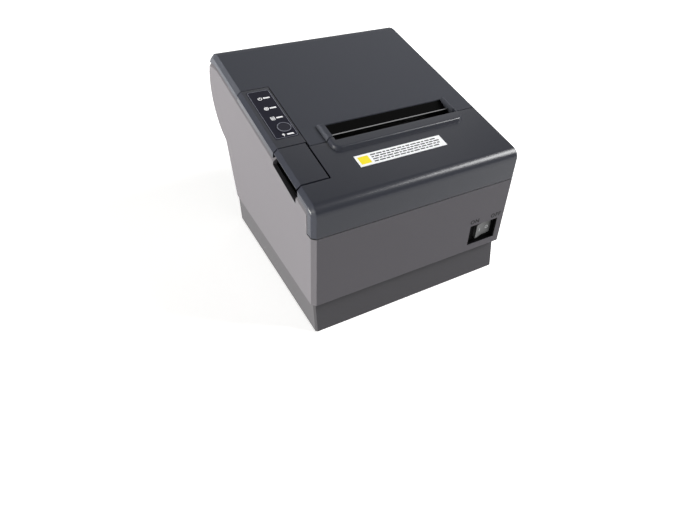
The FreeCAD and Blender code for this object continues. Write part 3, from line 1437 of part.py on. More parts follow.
def make_electronics():
    sheet_board = box(
        "board_blank",
        (across(S.board_left), along(S.board_front), BOARD_LOW),
        (across(S.board_right), along(S.board_back), BOARD_TOP),
    )
    hole, shank_radius, bite = S.screw - 0.4, S.screw - 0.5, 4.0
    head_radius, head_height = S.screw + 1, 1.4
    holes = []
    screws = []
    for index, (x, y) in enumerate(standoff_places()):
        holes.append(rod("board_hole_%d" % index, "z", (x, y, BOARD_LOW), hole, S.board))
        head = rod("board_screw_head_%d" % index, "z", (x, y, BOARD_TOP), head_radius, head_height)
        shank_start = (x, y, BOARD_LOW - bite)
        shank = rod("board_screw_shank_%d" % index, "z", shank_start, shank_radius, bite + S.board)
        screws.append(fuse("board_screw_%d" % index, head, shank))
    node("main_board", cut("main_board", sheet_board, *holes))
    node("board_screws", group("board_screws", *screws))
    socket_front = S.board_back - 13
    for name, (left, right, height) in SOCKETS.items():
        block = box(
            name + "_block",
            (across(left), along(socket_front), BOARD_TOP),
            (across(right), along(S.socket_back), BOARD_TOP + height),
        )
        node(name, SOCKET_MAKERS[name](name, block, left, right, height))
    buzzer_start = (across(S.board_left + 14), along(S.board_front + 16), BOARD_TOP)
    buzzer_radius, buzzer_height = 6.0, 8.0
    node("buzzer", rod("buzzer", "z", buzzer_start, buzzer_radius, buzzer_height))


def power_socket(name, block, left, right, height):
    """Round three-pin socket."""
    centre = (across((left + right) / 2), along(S.socket_back - SOCKET_MOUTH), BOARD_TOP + height / 2)
    mouth_radius, pin_radius, pin_length, pin_root = 4.9, 0.5, 7.0, 1.0
    mouth = rod(name + "_mouth", "y", centre, mouth_radius, SOCKET_MOUTH + THROUGH)
    pins = [
        rod(
            name + "_pin_%d" % index, "y", (centre[0] + x, centre[1] - pin_root, centre[2] + z),
            pin_radius, pin_length,
        )
        for index, (x, z) in enumerate(((-2.4, -0.6), (2.4, -0.6), (0, 2.4)))
    ]
    return fuse(name, cut(name + "_shell", block, mouth), *pins)


def usb_socket(name, block, left, right, height):
    """Square socket with an inner tongue."""
    skin = 1.0
    low = (across(left + skin), along(S.socket_back - SOCKET_MOUTH), BOARD_TOP + skin)
    high = (across(right - skin), along(S.socket_back + THROUGH), BOARD_TOP + height - skin)
    middle = across((left + right) / 2)
    mouth = box(name + "_mouth", low, high)
    centre_z = BOARD_TOP + height / 2
    half_width, half_height, setback = 2.8, 1.6, 3.0
    tongue = box(
        name + "_tongue",
        (middle - half_width, along(S.socket_back - SOCKET_MOUTH - skin), centre_z - half_height),
        (middle + half_width, along(S.socket_back - setback), centre_z + half_height),
    )
    return fuse(name, cut(name + "_shell", block, mouth), tongue)


def drawer_socket(name, block, left, right, height):
    """Jack for the cash drawer lead, with a latch notch below."""
    skin, floor, roof = 1.8, 3.2, 2.0
    notch_half, notch_low, notch_high = 3.0, 1.2, 4.0
    mouth_y, out_y = along(S.socket_back - SOCKET_MOUTH), along(S.socket_back + THROUGH)
    low = (across(left + skin), mouth_y, BOARD_TOP + floor)
    high = (across(right - skin), out_y, BOARD_TOP + height - roof)
    middle = across((left + right) / 2)
    notch = box(
        name + "_notch",
        (middle - notch_half, mouth_y, BOARD_TOP + notch_low),
        (middle + notch_half, out_y, BOARD_TOP + notch_high),
    )
    return cut(name, block, box(name + "_mouth", low, high), notch)


SOCKET_MAKERS = {"power_socket": power_socket, "usb_socket": usb_socket, "drawer_socket": drawer_socket}


def check_document():
    """Stop on a failed object or an unsound sub-part."""
    doc.recompute()
    failed = [thing.Name for thing in doc.Objects if {"Invalid", "Error"} & set(thing.State)]
    unsound = [name for name, thing in NODES.items() if thing.Shape.isNull() or not thing.Shape.isValid()]
    empty = [name for name, thing in NODES.items() if not thing.Shape.Solids]
    if failed or unsound or empty:
        raise RuntimeError("failed %s, unsound %s, empty %s" % (failed, unsound, empty))


def write_parts():
    """One file for each sub-part, named by its label."""
    os.makedirs("parts", exist_ok=True)
    for name, thing in NODES.items():
        thing.Shape.exportStep("parts/%s.step" % name)
        bounds = thing.Shape.BoundBox
        print("%-22s %d solids %9.1f mm3" % (name, len(thing.Shape.Solids), thing.Shape.Volume), bounds)


make_main_case()
make_base_tray()
make_feet_and_screws()
slot_rim = make_slot_rim()
make_rear_cover(slot_rim)
make_front_cover(slot_rim)
make_panel()
make_lever()
make_latch()
make_switch()
make_platen()
make_mechanism_frame()
make_feed_drive()
make_cutter()
make_bucket()
make_electronics()
check_document()
write_parts()
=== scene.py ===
import json
import math

import bmesh
import bpy
import numpy as np
from bpy.props import FloatProperty, FloatVectorProperty, PointerProperty
from bpy.types import Operator, Panel, PropertyGroup
from mathutils import Matrix, Vector


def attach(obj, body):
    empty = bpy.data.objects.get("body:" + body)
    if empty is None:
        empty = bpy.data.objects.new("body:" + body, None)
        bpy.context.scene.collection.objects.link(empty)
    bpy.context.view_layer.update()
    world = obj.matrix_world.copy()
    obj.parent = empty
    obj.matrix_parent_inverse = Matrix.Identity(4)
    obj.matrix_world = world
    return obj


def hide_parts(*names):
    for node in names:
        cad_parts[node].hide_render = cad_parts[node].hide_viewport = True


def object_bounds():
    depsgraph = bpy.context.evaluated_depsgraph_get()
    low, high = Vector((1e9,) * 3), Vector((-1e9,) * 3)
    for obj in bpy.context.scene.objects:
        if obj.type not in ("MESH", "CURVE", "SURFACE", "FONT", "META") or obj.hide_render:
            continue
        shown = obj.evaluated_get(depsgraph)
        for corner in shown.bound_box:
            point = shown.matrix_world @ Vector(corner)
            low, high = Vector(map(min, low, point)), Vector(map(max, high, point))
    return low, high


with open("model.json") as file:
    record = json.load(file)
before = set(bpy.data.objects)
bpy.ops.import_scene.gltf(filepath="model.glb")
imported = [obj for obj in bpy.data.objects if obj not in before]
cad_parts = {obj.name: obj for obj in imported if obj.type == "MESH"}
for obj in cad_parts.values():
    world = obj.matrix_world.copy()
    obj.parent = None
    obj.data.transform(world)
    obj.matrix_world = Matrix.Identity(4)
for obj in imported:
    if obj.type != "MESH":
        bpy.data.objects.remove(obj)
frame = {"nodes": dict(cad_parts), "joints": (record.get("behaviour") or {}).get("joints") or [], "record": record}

bl_info = {
    "name": "Receipt printer looks",
    "version": (1, 0, 0),
    "blender": (4, 5, 0),
    "location": "View3D > Sidebar > Printer",
    "description": "Finishes, printed marks, raised letters and stage for a receipt printer",
    "category": "Object",
}

CAD_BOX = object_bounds()
NODES = frame["nodes"]
NODE_BODY = {
    node: body
    for body, nodes in frame["record"]["behaviour"]["bodies"].items()
    for node in nodes
}
JOINTS = {joint["name"]: joint for joint in frame["joints"]}
MM = 0.001


def linear(code):
    """Linear colour of an sRGB hex value: each channel c is ((c + 0.055) / 1.055) ** 2.4."""
    channels = [int(code[place:place + 2], 16) / 255 for place in (1, 3, 5)]
    return tuple(c / 12.92 if c <= 0.04045 else ((c + 0.055) / 1.055) ** 2.4 for c in channels)


def size(name, description, millimetres):
    """A length that a user may change, held in metres."""
    return FloatProperty(
        name=name, description=description, default=millimetres * MM, min=0.0, precision=5,
        subtype="DISTANCE", unit="LENGTH",
    )


def colour(name, description, code):
    """A colour that a user may change, held as linear light."""
    return FloatVectorProperty(
        name=name, description=description, default=linear(code), size=3, min=0.0, max=1.0, subtype="COLOR"
    )


class PrinterSizes(PropertyGroup):
    """Sizes of what is added to the frame's solids."""

    edge_round: size("Edge rounding", "Rounding of the moulded edges", 0.35)
    grain: size("Grain", "Spacing of the moulded grain", 0.9)
    stroke: size("Mark stroke", "Line width of the printed marks", 0.55)
    mark_height: size("Mark height", "Height of the printed marks", 2.8)
    ink: size("Ink", "Thickness of the printed ink", 0.03)
    outline: size("Overlay outline", "Width of the line round the overlay", 0.3)
    letter_height: size("Letter height", "Height of the raised switch letters", 3.0)
    letter_rise: size("Letter rise", "How far the switch letters stand out", 0.12)


class PrinterColours(PropertyGroup):
    """Colours of the finishes."""

    case: colour("Case", "Case moulding", "#535155")
    # The tray is of the case's plastic; its darker colour is painted shade, the shade under the case's overhang
    tray: colour("Tray", "Base tray moulding", "#3D3C3F")
    cover: colour("Cover", "Rear cover moulding", "#36383F")
    # Near-neutral plastic; its blue tint is painted reflection, the bluish sheen seen on the deck
    front: colour("Front", "Front cover, lever and panel mouldings", "#25272F")
    film: colour("Overlay", "Panel overlay film", "#0F0F1E")
    button: colour("Button", "Feed button", "#1F1F29")
    # Black plastic; with its almost glossless finish it is also painted shade of the openings it lines
    dark: colour("Black parts", "Black inner mouldings", "#070707")
    # Black rocker painted grey: painted sheen of the floor's reflection on it
    rocker: colour("Rocker", "Power rocker", "#3A3B3B")
    ink: colour("Ink", "White printed marks", "#F4F4F6")
    label: colour("Label", "Plain label strip", "#F4F5F6")
    label_patch: colour("Label patch", "Plain patch on the label", "#F2E01C")
    label_rule: colour("Label rules", "Word-like bars on the label", "#2E2E33")
    # Raised letters of the case's plastic, painted near black as painted shadow
    letters: colour("Letters", "Raised switch letters", "#141416")


# Deck of the printer: the lever's hinge runs along the slope of the deck.

DECK_ALONG = np.array(JOINTS["lever_lift"]["axis"], float)
DECK_SQUARE = np.cross([1.0, 0.0, 0.0], DECK_ALONG)
LEFT_SIDE = CAD_BOX[0][0]
FRONT_SIDE = CAD_BOX[0][1]
DECK_FRONT_HEIGHT = 95.1 * MM
ACROSS = np.array([1.0, 0.0, 0.0])
UP = np.array([0.0, 0.0, 1.0])
GROUND_LOW = -0.6 * MM


def deck_place(across, along, rise=0.0):
    """Point on the deck: across from the left side, along the slope from the front, square to it."""
    corner = np.array([LEFT_SIDE, FRONT_SIDE, DECK_FRONT_HEIGHT])
    return corner + across * ACROSS + along * DECK_ALONG + rise * DECK_SQUARE


def need(node):
    """Solid of the frame by its name."""
    if node not in NODES:
        raise RuntimeError("The frame has no node " + node)
    return NODES[node]


def sheet_of(start, first, second, normal):
    """Frame of a flat surface: its corner, its two directions and the way it faces."""
    return np.array(start, float), np.array(first, float), np.array(second, float), np.array(normal, float)


# Materials

def add_node(tree, kind, settings=None, inputs=None, links=None):
    """Add a node, set its options and sockets and link other outputs to its inputs."""
    node = tree.nodes.new(kind)
    for name, value in (settings or {}).items():
        setattr(node, name, value)
    for name, value in (inputs or {}).items():
        node.inputs[name].default_value = value
    for name, output in (links or {}).items():
        tree.links.new(output, node.inputs[name])
    return node


def new_material(name):
    """Empty material with its node tree and output."""
    material = bpy.data.materials.new(name)
    material.use_nodes = True
    tree = material.node_tree
    tree.nodes.clear()
    return material, tree, add_node(tree, "ShaderNodeOutputMaterial")


def smooth_finish(name, tint, roughness, metallic=0.0, gloss=0.5):
    """Plain even surface of one colour; gloss is the shader's specular level, a half as a rule."""
    material, tree, output = new_material(name)
    inputs = {
        "Base Color": (*tint, 1.0), "Roughness": roughness, "Metallic": metallic, "Specular IOR Level": gloss,
    }
    shader = add_node(tree, "ShaderNodeBsdfPrincipled", inputs=inputs)
    tree.links.new(shader.outputs["BSDF"], output.inputs["Surface"])
    return material


def grained_finish(name, tint, roughness, spacing, gloss, depth=0.02 * MM):
    """Moulded plastic with a spark-eroded grain: fine bumps of the given spacing that break the gloss."""
    material, tree, output = new_material(name)
    place = add_node(tree, "ShaderNodeTexCoord")
    noise = add_node(
        tree, "ShaderNodeTexNoise",
        inputs={"Scale": 1.0 / spacing, "Detail": 2.0, "Roughness": 0.6},
        links={"Vector": place.outputs["Object"]},
    )
    bump = add_node(
        tree, "ShaderNodeBump",
        inputs={"Strength": 0.35, "Distance": depth},
        links={"Height": noise.outputs["Fac"]},
    )
    shader = add_node(
        tree, "ShaderNodeBsdfPrincipled",
        inputs={"Base Color": (*tint, 1.0), "Roughness": roughness, "IOR": 1.53, "Specular IOR Level": gloss},
        links={"Normal": bump.outputs["Normal"]},
    )
    tree.links.new(shader.outputs["BSDF"], output.inputs["Surface"])
    return material


def ground_edge_finish(name, slot_shade, ground, low, roughness):
    """Steel ground bright where it stands higher, square to the deck, than a level, and painted near black below
    it as painted shade of the slot.
    """
    material, tree, output = new_material(name)
    place = add_node(tree, "ShaderNodeTexCoord")
    level = add_node(
        tree, "ShaderNodeVectorMath", {"operation": "DOT_PRODUCT"},
        inputs={1: DECK_SQUARE}, links={0: place.outputs["Object"]},
    )
    edge = add_node(
        tree, "ShaderNodeMath", {"operation": "GREATER_THAN"},
        inputs={1: low}, links={0: level.outputs["Value"]},
    )
    tint = add_node(
        tree, "ShaderNodeMixRGB", inputs={"Color1": (*slot_shade, 1.0), "Color2": (*ground, 1.0)},
        links={"Fac": edge.outputs[0]},
    )
    shader = add_node(
        tree, "ShaderNodeBsdfPrincipled", inputs={"Metallic": 1.0, "Roughness": roughness},
        links={"Base Color": tint.outputs[0]},
    )
    tree.links.new(shader.outputs["BSDF"], output.inputs["Surface"])
    return material


def paint(piece, material):
    """Give a piece one material all over."""
    piece.data.materials.clear()
    piece.data.materials.append(material)


# Mesh helpers

def piece_from(name, points, faces, body, material):
    """Mesh object at the origin that rides on a body."""
    mesh = bpy.data.meshes.new(name)
    mesh.from_pydata(points.tolist(), [], faces.tolist())
    mesh.validate()
    mesh.update()
    piece = bpy.data.objects.new(name, mesh)
    bpy.context.scene.collection.objects.link(piece)
    paint(piece, material)
    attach(piece, body)
    return piece


def stroke(path, width, rise, closed):
    """Raised line: the path offset by half the width each way, at the foot and at the rise.

    Rows run left foot, left top, right top, right foot; columns run along the path.
    """
    path = np.asarray(path, float)
    if closed:
        ahead = np.roll(path, -1, 0) - np.roll(path, 1, 0)
    else:
        ahead = np.gradient(path, axis=0)
    ahead /= np.linalg.norm(ahead, axis=1, keepdims=True)
    side = np.stack([-ahead[:, 1], ahead[:, 0]], 1) * width / 2
    foot = np.zeros((len(path), 1))
    top = np.full((len(path), 1), rise)
    rows = np.stack([
        np.hstack([path + side, foot]),
        np.hstack([path + side, top]),
        np.hstack([path - side, top]),
        np.hstack([path - side, foot]),
    ])
    count = len(path)
    steps = np.arange(count if closed else count - 1)
    nexts = (steps + 1) % count
    row = np.arange(4)[:, None]
    following = (row + 1) % 4
    quads = np.stack([
        row * count + steps, row * count + nexts, following * count + nexts, following * count + steps,
    ], -1).reshape(-1, 4)
    if not closed:
        first = np.arange(4) * count
        quads = np.vstack([quads, first, first[::-1] + count - 1])
    return rows.reshape(-1, 3), quads


def joined(parts):
    """Several meshes of points and quads as one."""
    offsets = np.cumsum([0] + [len(points) for points, _ in parts[:-1]])
    points = np.vstack([points for points, _ in parts])
    faces = np.vstack([faces + offset for (_, faces), offset in zip(parts, offsets)])
    return points, faces


def laid_on(surface, points):
    """Points of a flat drawing laid on a surface: corner + a first + b second + c normal."""
    start, first, second, normal = surface
    return start + points[:, :1] * first + points[:, 1:2] * second + points[:, 2:] * normal


def arc(centre, radius, start, end, count=25):
    """Points on a circle from one angle to another, in degrees."""
    turn = np.radians(np.linspace(start, end, count))
    return np.stack([centre[0] + radius * np.cos(turn), centre[1] + radius * np.sin(turn)], 1)


def round_box(low, high, radius):
    """Closed outline of a rectangle with quarter circles at its corners."""
    corners = [
        ((high[0] - radius, high[1] - radius), 0), ((low[0] + radius, high[1] - radius), 90),
        ((low[0] + radius, low[1] + radius), 180), ((high[0] - radius, low[1] + radius), 270),
    ]
    return np.vstack([arc(centre, radius, turn, turn + 90, 8) for centre, turn in corners])


def flat_bar(low, high, rise):
    """Box drawn on a flat surface from one corner to the other, with a given height."""
    middle = (low[1] + high[1]) / 2
    return stroke([(low[0], middle), (high[0], middle)], high[1] - low[1], rise, False)


# Copies of the frame's mouldings with rounded edges

SHARP = math.radians(40)
BEND = math.radians(25)
FLAT = math.radians(0.3)
TOUCH = 0.001 * MM


def set_flat_normals(mesh):
    """Shade flats as flats and rounds as rounds.

    The normal at a face's corner is the sum of the normals of the faces round that corner that turn
    less than the bend angle away from it, each weighted by its area.
    """
    loops, faces = len(mesh.loops), len(mesh.polygons)
    corner_point = np.zeros(loops, int)
    mesh.loops.foreach_get("vertex_index", corner_point)
    counts, normals, areas = np.zeros(faces, int), np.zeros(faces * 3), np.zeros(faces)
    mesh.polygons.foreach_get("loop_total", counts)
    mesh.polygons.foreach_get("normal", normals)
    mesh.polygons.foreach_get("area", areas)
    normals = normals.reshape(-1, 3)
    corner_face = np.repeat(np.arange(faces), counts)
    order = np.argsort(corner_point, kind="stable")
    shared = np.bincount(corner_point, minlength=len(mesh.vertices))
    starts = np.cumsum(shared) - shared
    partners = shared[corner_point]
    first = np.repeat(np.arange(loops), partners)
    step = np.arange(len(first)) - np.repeat(np.cumsum(partners) - partners, partners)
    second = order[starts[corner_point[first]] + step]
    own, other = corner_face[first], corner_face[second]
    near = (normals[own] * normals[other]).sum(1) > math.cos(BEND)
    weighted = normals[other] * (areas[other] * near)[:, None]
    result = np.zeros((loops, 3))
    np.add.at(result, first, weighted)
    result /= np.linalg.norm(result, axis=1, keepdims=True)
    mesh.normals_split_custom_set(result.tolist())


def rounded_copy(node, width, material):
    """Copy of a moulding whose sharp edges are rounded as they come out of a mould."""
    mesh = need(node).data.copy()
    mesh.name = node + "_moulding"
    body = bmesh.new()
    body.from_mesh(mesh)
    bmesh.ops.remove_doubles(body, verts=body.verts, dist=TOUCH)
    bmesh.ops.dissolve_limit(body, angle_limit=FLAT, verts=body.verts, edges=body.edges)
    sharp = [edge for edge in body.edges if edge.is_manifold and edge.calc_face_angle() > SHARP]
    bmesh.ops.bevel(
        body, geom=sharp, offset=width, offset_type="OFFSET", segments=2, profile=0.5, affect="EDGES",
        clamp_overlap=True,
    )
    bmesh.ops.triangulate(body, faces=body.faces)
    body.to_mesh(mesh)
    body.free()
    mesh.shade_smooth()
    set_flat_normals(mesh)
    piece = bpy.data.objects.new(mesh.name, mesh)
    bpy.context.scene.collection.objects.link(piece)
    paint(piece, material)
    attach(piece, NODE_BODY[node])
    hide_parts(node)
    return piece


class PRINTER_OT_mouldings(Operator):
    """Round the edges of the outer mouldings and give them their grained plastic"""

    bl_idname = "printer.mouldings"
    bl_label = "Outer mouldings"

    def execute(self, context):
        sizes, colours = context.scene.printer_sizes, context.scene.printer_colours
        # ABS with a spark-eroded grain: dull, with a broad soft sheen
        case = grained_finish("abs_grained_case", colours.case, 0.7, sizes.grain, 0.15)
        cover = grained_finish("abs_grained_cover", colours.cover, 0.55, sizes.grain, 0.2)
        # The blue tint of this colour is painted reflection of a bluish sheen on the deck
        front = grained_finish("abs_grained_front", colours.front, 0.27, 0.6 * sizes.grain, 0.3, 0.06 * MM)
        # Case's plastic made darker: painted shade of the case's overhang on the tray
        tray = grained_finish("abs_grained_tray", colours.tray, 0.7, sizes.grain, 0.25)
        # Black ABS with almost no gloss: its missing sheen is painted shade, so that the switch recess, slot liner
        # and finger gap stay as black as deep openings where they face the floor
        dark = smooth_finish("abs_black_painted_shade", colours.dark, 0.6, gloss=0.02)
        # Black ABS rocker from a polished mould, painted mid grey: painted sheen, the floor's reflection on it; a
        # little glossier than the case
        rocker = smooth_finish("abs_black_painted_sheen", colours.rocker, 0.35)
        for node, material, slot in (
            ("main_case", case, "case_plastic"),
            ("base_tray", tray, "tray_plastic"),
            ("rear_cover", cover, "cover_plastic"),
            ("front_cover", front, "cover_plastic"),
            ("control_panel_frame", front, "cover_plastic"),
            ("open_lever", front, "cover_plastic"),
            ("power_switch_housing", dark, "black_plastic"),
            ("power_rocker", rocker, "black_plastic"),
        ):
            rounded_copy(node, sizes.edge_round, material)
        # Black parts in the slot and finger gap, near black and glossless: their own black plus painted shade of
        # these openings
        for node in ("lever_bracket", "cover_inner_frame", "paper_bucket"):
            paint(need(node), dark)
        return {"FINISHED"}


class PRINTER_OT_mechanism(Operator):
    """Give the inner pieces their metal, rubber and plastic"""

    bl_idname = "printer.mechanism"
    bl_label = "Mechanism"

    def execute(self, context):
        # Zinc-plated sheet and bright bar: grey, half dull
        steel = smooth_finish("steel_zinc_plated", linear("#B4B6B8"), 0.38, metallic=1.0)
        # Spring steel with a ground tear edge: a thin grey line, and near black below it as painted shade of the
        # slot
        low = float(deck_place(0, 0, GROUND_LOW) @ DECK_SQUARE)
        blade = ground_edge_finish(
            "spring_steel_ground_edge", linear("#0C0C0C"), linear("#8A8A8B"), low, 0.45
        )
        # Drawn aluminium: pale and even
        sink = smooth_finish("aluminium_drawn", linear("#C9CACC"), 0.4, metallic=1.0)
        # Ground silicone rubber: near black and dull
        rubber = smooth_finish("rubber_ground", linear("#1E1E1F"), 0.8)
        # Acetal as moulded: waxy off-white
        acetal = smooth_finish("acetal_moulded", linear("#D8D6CC"), 0.45)
        # Glazed ceramic: smooth and warm white
        ceramic = smooth_finish("ceramic_glazed", linear("#CFC9B8"), 0.2)
        # Glass-fibre laminate under green lacquer
        laminate = smooth_finish("laminate_lacquered", linear("#1F5A34"), 0.35)
        # Nylon as moulded, black
        nylon = smooth_finish("nylon_moulded_black", linear("#1B1B1C"), 0.5)
        # Clear acrylic lens, nearly white over its light
        lens = smooth_finish("acrylic_lens", linear("#C9D2C6"), 0.15)
        finishes = {
            "steel": steel, "sheet_steel": steel, "blade_steel": blade, "sink_aluminium": sink,
            "foot_rubber": rubber, "roller_rubber": rubber, "gear_plastic": acetal, "bush_plastic": acetal,
            "head_ceramic": ceramic, "board_laminate": laminate, "socket_plastic": nylon,
            "socket_metal": steel, "light_lens": lens,
        }
        for part in frame["record"]["subparts"]:
            if part["material_slot"] in finishes:
                paint(need(part["node"]), finishes[part["material_slot"]])
        return {"FINISHED"}


# Places on the deck, from the left side and along the slope

OVERLAY_LEFT, OVERLAY_RIGHT = 5.0 * MM, 19.5 * MM
OVERLAY_FRONT, OVERLAY_BACK = 59.5 * MM, 107.1 * MM
FILM = 0.25 * MM
BUTTON_ACROSS, BUTTON_ALONG, BUTTON_RIM = 13.9 * MM, 68.5 * MM, 4.1 * MM
BUTTON_TOP = 0.6 * MM
BUTTON_LINE, BUTTON_LINE_RISE = 0.4 * MM, 0.15 * MM
OVERLAY_CORNER = 1.2 * MM
MARK_MIDDLE = 10.9 * MM
BAR_START, BAR_END, BAR_WIDTH = 2.2 * MM, 6.4 * MM, 1.3 * MM
POWER_MARK, ERROR_MARK, PAPER_MARK, FEED_MARK = 99.2 * MM, 88.5 * MM, 78.4 * MM, 62.0 * MM


def power_mark(tall):
    """Open ring with an upright bar, on a square of the given height."""
    ring = arc((0, -0.06 * tall), 0.42 * tall, 125, 415, 31)
    return [ring, [(0, 0.0), (0, 0.5 * tall)]]


def error_mark(tall):
    """Ring with a slanted cross."""
    reach = 0.22 * tall
    return [
        arc((0, 0), 0.45 * tall, 0, 359.9, 33),
        [(-reach, -reach), (reach, reach)],
        [(-reach, reach), (reach, -reach)],
    ]


def paper_mark(tall):
    """Sheet with two lines of print."""
    half = 0.38 * tall
    high = 0.48 * tall
    return [
        [(-half, -high), (half, -high), (half, high), (-half, high), (-half, -high)],
        [(-0.2 * tall, 0.14 * tall), (0.2 * tall, 0.14 * tall)],
        [(-0.2 * tall, -0.16 * tall), (0.2 * tall, -0.16 * tall)],
    ]


def feed_mark(tall):
    """Arrow that points out of the slot."""
    reach = 0.3 * tall
    return [
        [(0, -0.45 * tall), (0, 0.4 * tall)],
        [(-reach, 0.05 * tall), (0, 0.45 * tall), (reach, 0.05 * tall)],
    ]


class PRINTER_OT_panel(Operator):
    """Print the panel overlay's marks, draw its outline and the button's ring in grey as painted highlight, and
    give the button its finish
    """

    bl_idname = "printer.panel"
    bl_label = "Control panel"

    def execute(self, context):
        sizes, colours = context.scene.printer_sizes, context.scene.printer_colours
        # Polycarbonate film printed on its back: even, satin
        paint(need("panel_overlay"), smooth_finish("polycarbonate_film", colours.film, 0.38, gloss=0.12))
        paint(need("feed_button"), smooth_finish("polycarbonate_button", colours.button, 0.4, gloss=0.15))
        # Screen ink: flat white
        ink = smooth_finish("screen_ink_white", colours.ink, 0.6)
        surface = sheet_of(deck_place(0, 0, FILM), ACROSS, DECK_ALONG, DECK_SQUARE)
        edge = sizes.outline
        border = round_box(
            (OVERLAY_LEFT + edge, OVERLAY_FRONT + edge), (OVERLAY_RIGHT - edge, OVERLAY_BACK - edge),
            OVERLAY_CORNER,
        )
        points, faces = stroke(border, edge, sizes.ink, True)
        # Grey line round the overlay and on the button's raised ring: painted highlight of the overlay's recess
        # edge and of the ring
        grey = smooth_finish("grey_painted_highlight", linear("#6E707A"), 0.6)
        piece_from("overlay_outline", laid_on(surface, points), faces, "case", grey)
        circle = arc((BUTTON_ACROSS, BUTTON_ALONG), BUTTON_RIM, 0, 360, 49)[:-1]
        rim = stroke(circle, BUTTON_LINE, BUTTON_LINE_RISE, True)
        raised = sheet_of(deck_place(0, 0, BUTTON_TOP), ACROSS, DECK_ALONG, DECK_SQUARE)
        piece_from("button_rim", laid_on(raised, rim[0]), rim[1], "button", grey)
        tall = sizes.mark_height
        for name, drawing, along in (
            ("power_mark", power_mark, POWER_MARK),
            ("error_mark", error_mark, ERROR_MARK),
            ("paper_mark", paper_mark, PAPER_MARK),
            ("feed_mark", feed_mark, FEED_MARK),
        ):
            lines = [np.array(line) for line in drawing(tall)]
            parts = [stroke(line, sizes.stroke, sizes.ink, False) for line in lines]
            shift = np.array([MARK_MIDDLE, along, 0.0])
            parts.append(stroke([(BAR_START, 0.0), (BAR_END, 0.0)], BAR_WIDTH, sizes.ink, False))
            points, faces = joined(parts)
            piece_from(name, laid_on(surface, points + shift), faces, "case", ink)
        return {"FINISHED"}


LABEL_LEFT, LABEL_LENGTH = 41.0 * MM, 60.8 * MM
LABEL_FRONT, LABEL_WIDTH = 21.3 * MM, 9.5 * MM
PATCH_START, PATCH_END, PATCH_EDGE = 1.4 * MM, 8.2 * MM, 1.6 * MM
WORDS_START, WORDS_END = 10.0 * MM, LABEL_LENGTH - 2.0 * MM
WORD_GAP, WORD_HEIGHT = 0.7 * MM, 0.9 * MM
WORD_LENGTH, WORD_SWING = 2.8 * MM, 1.2 * MM
WORD_LINES, WORD_EDGE, MOST_WORDS = 4, 1.9 * MM, 20


def word_bars(line):
    """Ends of word-like bars along a line: lengths swing by a sine between 1.6 and 4 mm, with even gaps."""
    lengths = WORD_LENGTH + WORD_SWING * np.sin(1.7 * np.arange(MOST_WORDS) + 2.3 * line)
    stops = WORDS_START + np.cumsum(lengths + WORD_GAP) - WORD_GAP
    fits = stops <= WORDS_END
    return np.stack([stops - lengths, stops], 1)[fits]


class PRINTER_OT_label(Operator):
    """Finish the plain label on the front cover: a coloured patch and word-like bars"""

    bl_idname = "printer.label"
    bl_label = "Label"

    def execute(self, context):
        sizes, colours = context.scene.printer_sizes, context.scene.printer_colours
        # Vinyl film: white, half gloss
        paint(need("blank_label"), smooth_finish("vinyl_film_white", colours.label, 0.35))
        surface = sheet_of(deck_place(LABEL_LEFT, LABEL_FRONT, FILM), ACROSS, DECK_ALONG, DECK_SQUARE)
        patch = flat_bar((PATCH_START, PATCH_EDGE), (PATCH_END, LABEL_WIDTH - PATCH_EDGE), sizes.ink)
        # Printing ink on vinyl
        yellow = smooth_finish("vinyl_ink_yellow", colours.label_patch, 0.45)
        piece_from("label_patch", laid_on(surface, patch[0]), patch[1], "cutter_cover", yellow)
        heights = np.linspace(WORD_EDGE, LABEL_WIDTH - WORD_EDGE, WORD_LINES)
        bars = [
            stroke([(start, height), (stop, height)], WORD_HEIGHT, sizes.ink, False)
            for line, height in enumerate(heights)
            for start, stop in word_bars(line)
        ]
        points, faces = joined(bars)
        grey = smooth_finish("vinyl_ink_grey", colours.label_rule, 0.5)
        piece_from("label_bars", laid_on(surface, points), faces, "cutter_cover", grey)
        return {"FINISHED"}


SWITCH_AXIS = JOINTS["power_rocker_tip"]["pos_m"]
LETTER_FOOT = 46.9 * MM
LETTER_MIDDLES = {"ON": 117.8 * MM, "OFF": 135.4 * MM}
WINDOW_LOW, WINDOW_HIGH = (115.0 * MM, 29.0 * MM), (138.0 * MM, 45.0 * MM)
WINDOW_FRONT, WINDOW_BACK, SHADE_LINING = 0.4 * MM, 2.5 * MM, 0.4 * MM
ROCKER_TILT = math.radians(8.0)
ROCKER_VALLEY = 2.2 * MM
ROCKER_EDGE = 2.8 * MM
ROCKER_HALF = 6.9 * MM
RING_RADIUS, RING_LINE = 1.05 * MM, 0.45 * MM
BAR_HALF, BAR_LINE = 1.2 * MM, 0.5 * MM
CAPITAL_SHARE, LETTER_BOLD, LETTER_SPACING = 0.7, 0.04, 1.2


def turned(angle):
    """Directions across and out of the front face, turned about the upright by an angle."""
    across = np.array([math.cos(angle), math.sin(angle), 0.0])
    return across, np.array([across[1], -across[0], 0.0])


def letters_mesh(text, tall, rise):
    """Raised capital letters, foot at zero and centred, in the plane of the first two axes."""
    curve = bpy.data.curves.new(text, "FONT")
    curve.body = text
    curve.size = tall / CAPITAL_SHARE
    curve.extrude = rise / 2
    curve.offset = LETTER_BOLD * tall
    curve.space_character = LETTER_SPACING
    curve.align_x = "CENTER"
    holder = bpy.data.objects.new(text, curve)
    mesh = bpy.data.meshes.new_from_object(holder)
    bpy.data.objects.remove(holder)
    bpy.data.curves.remove(curve)
    return mesh


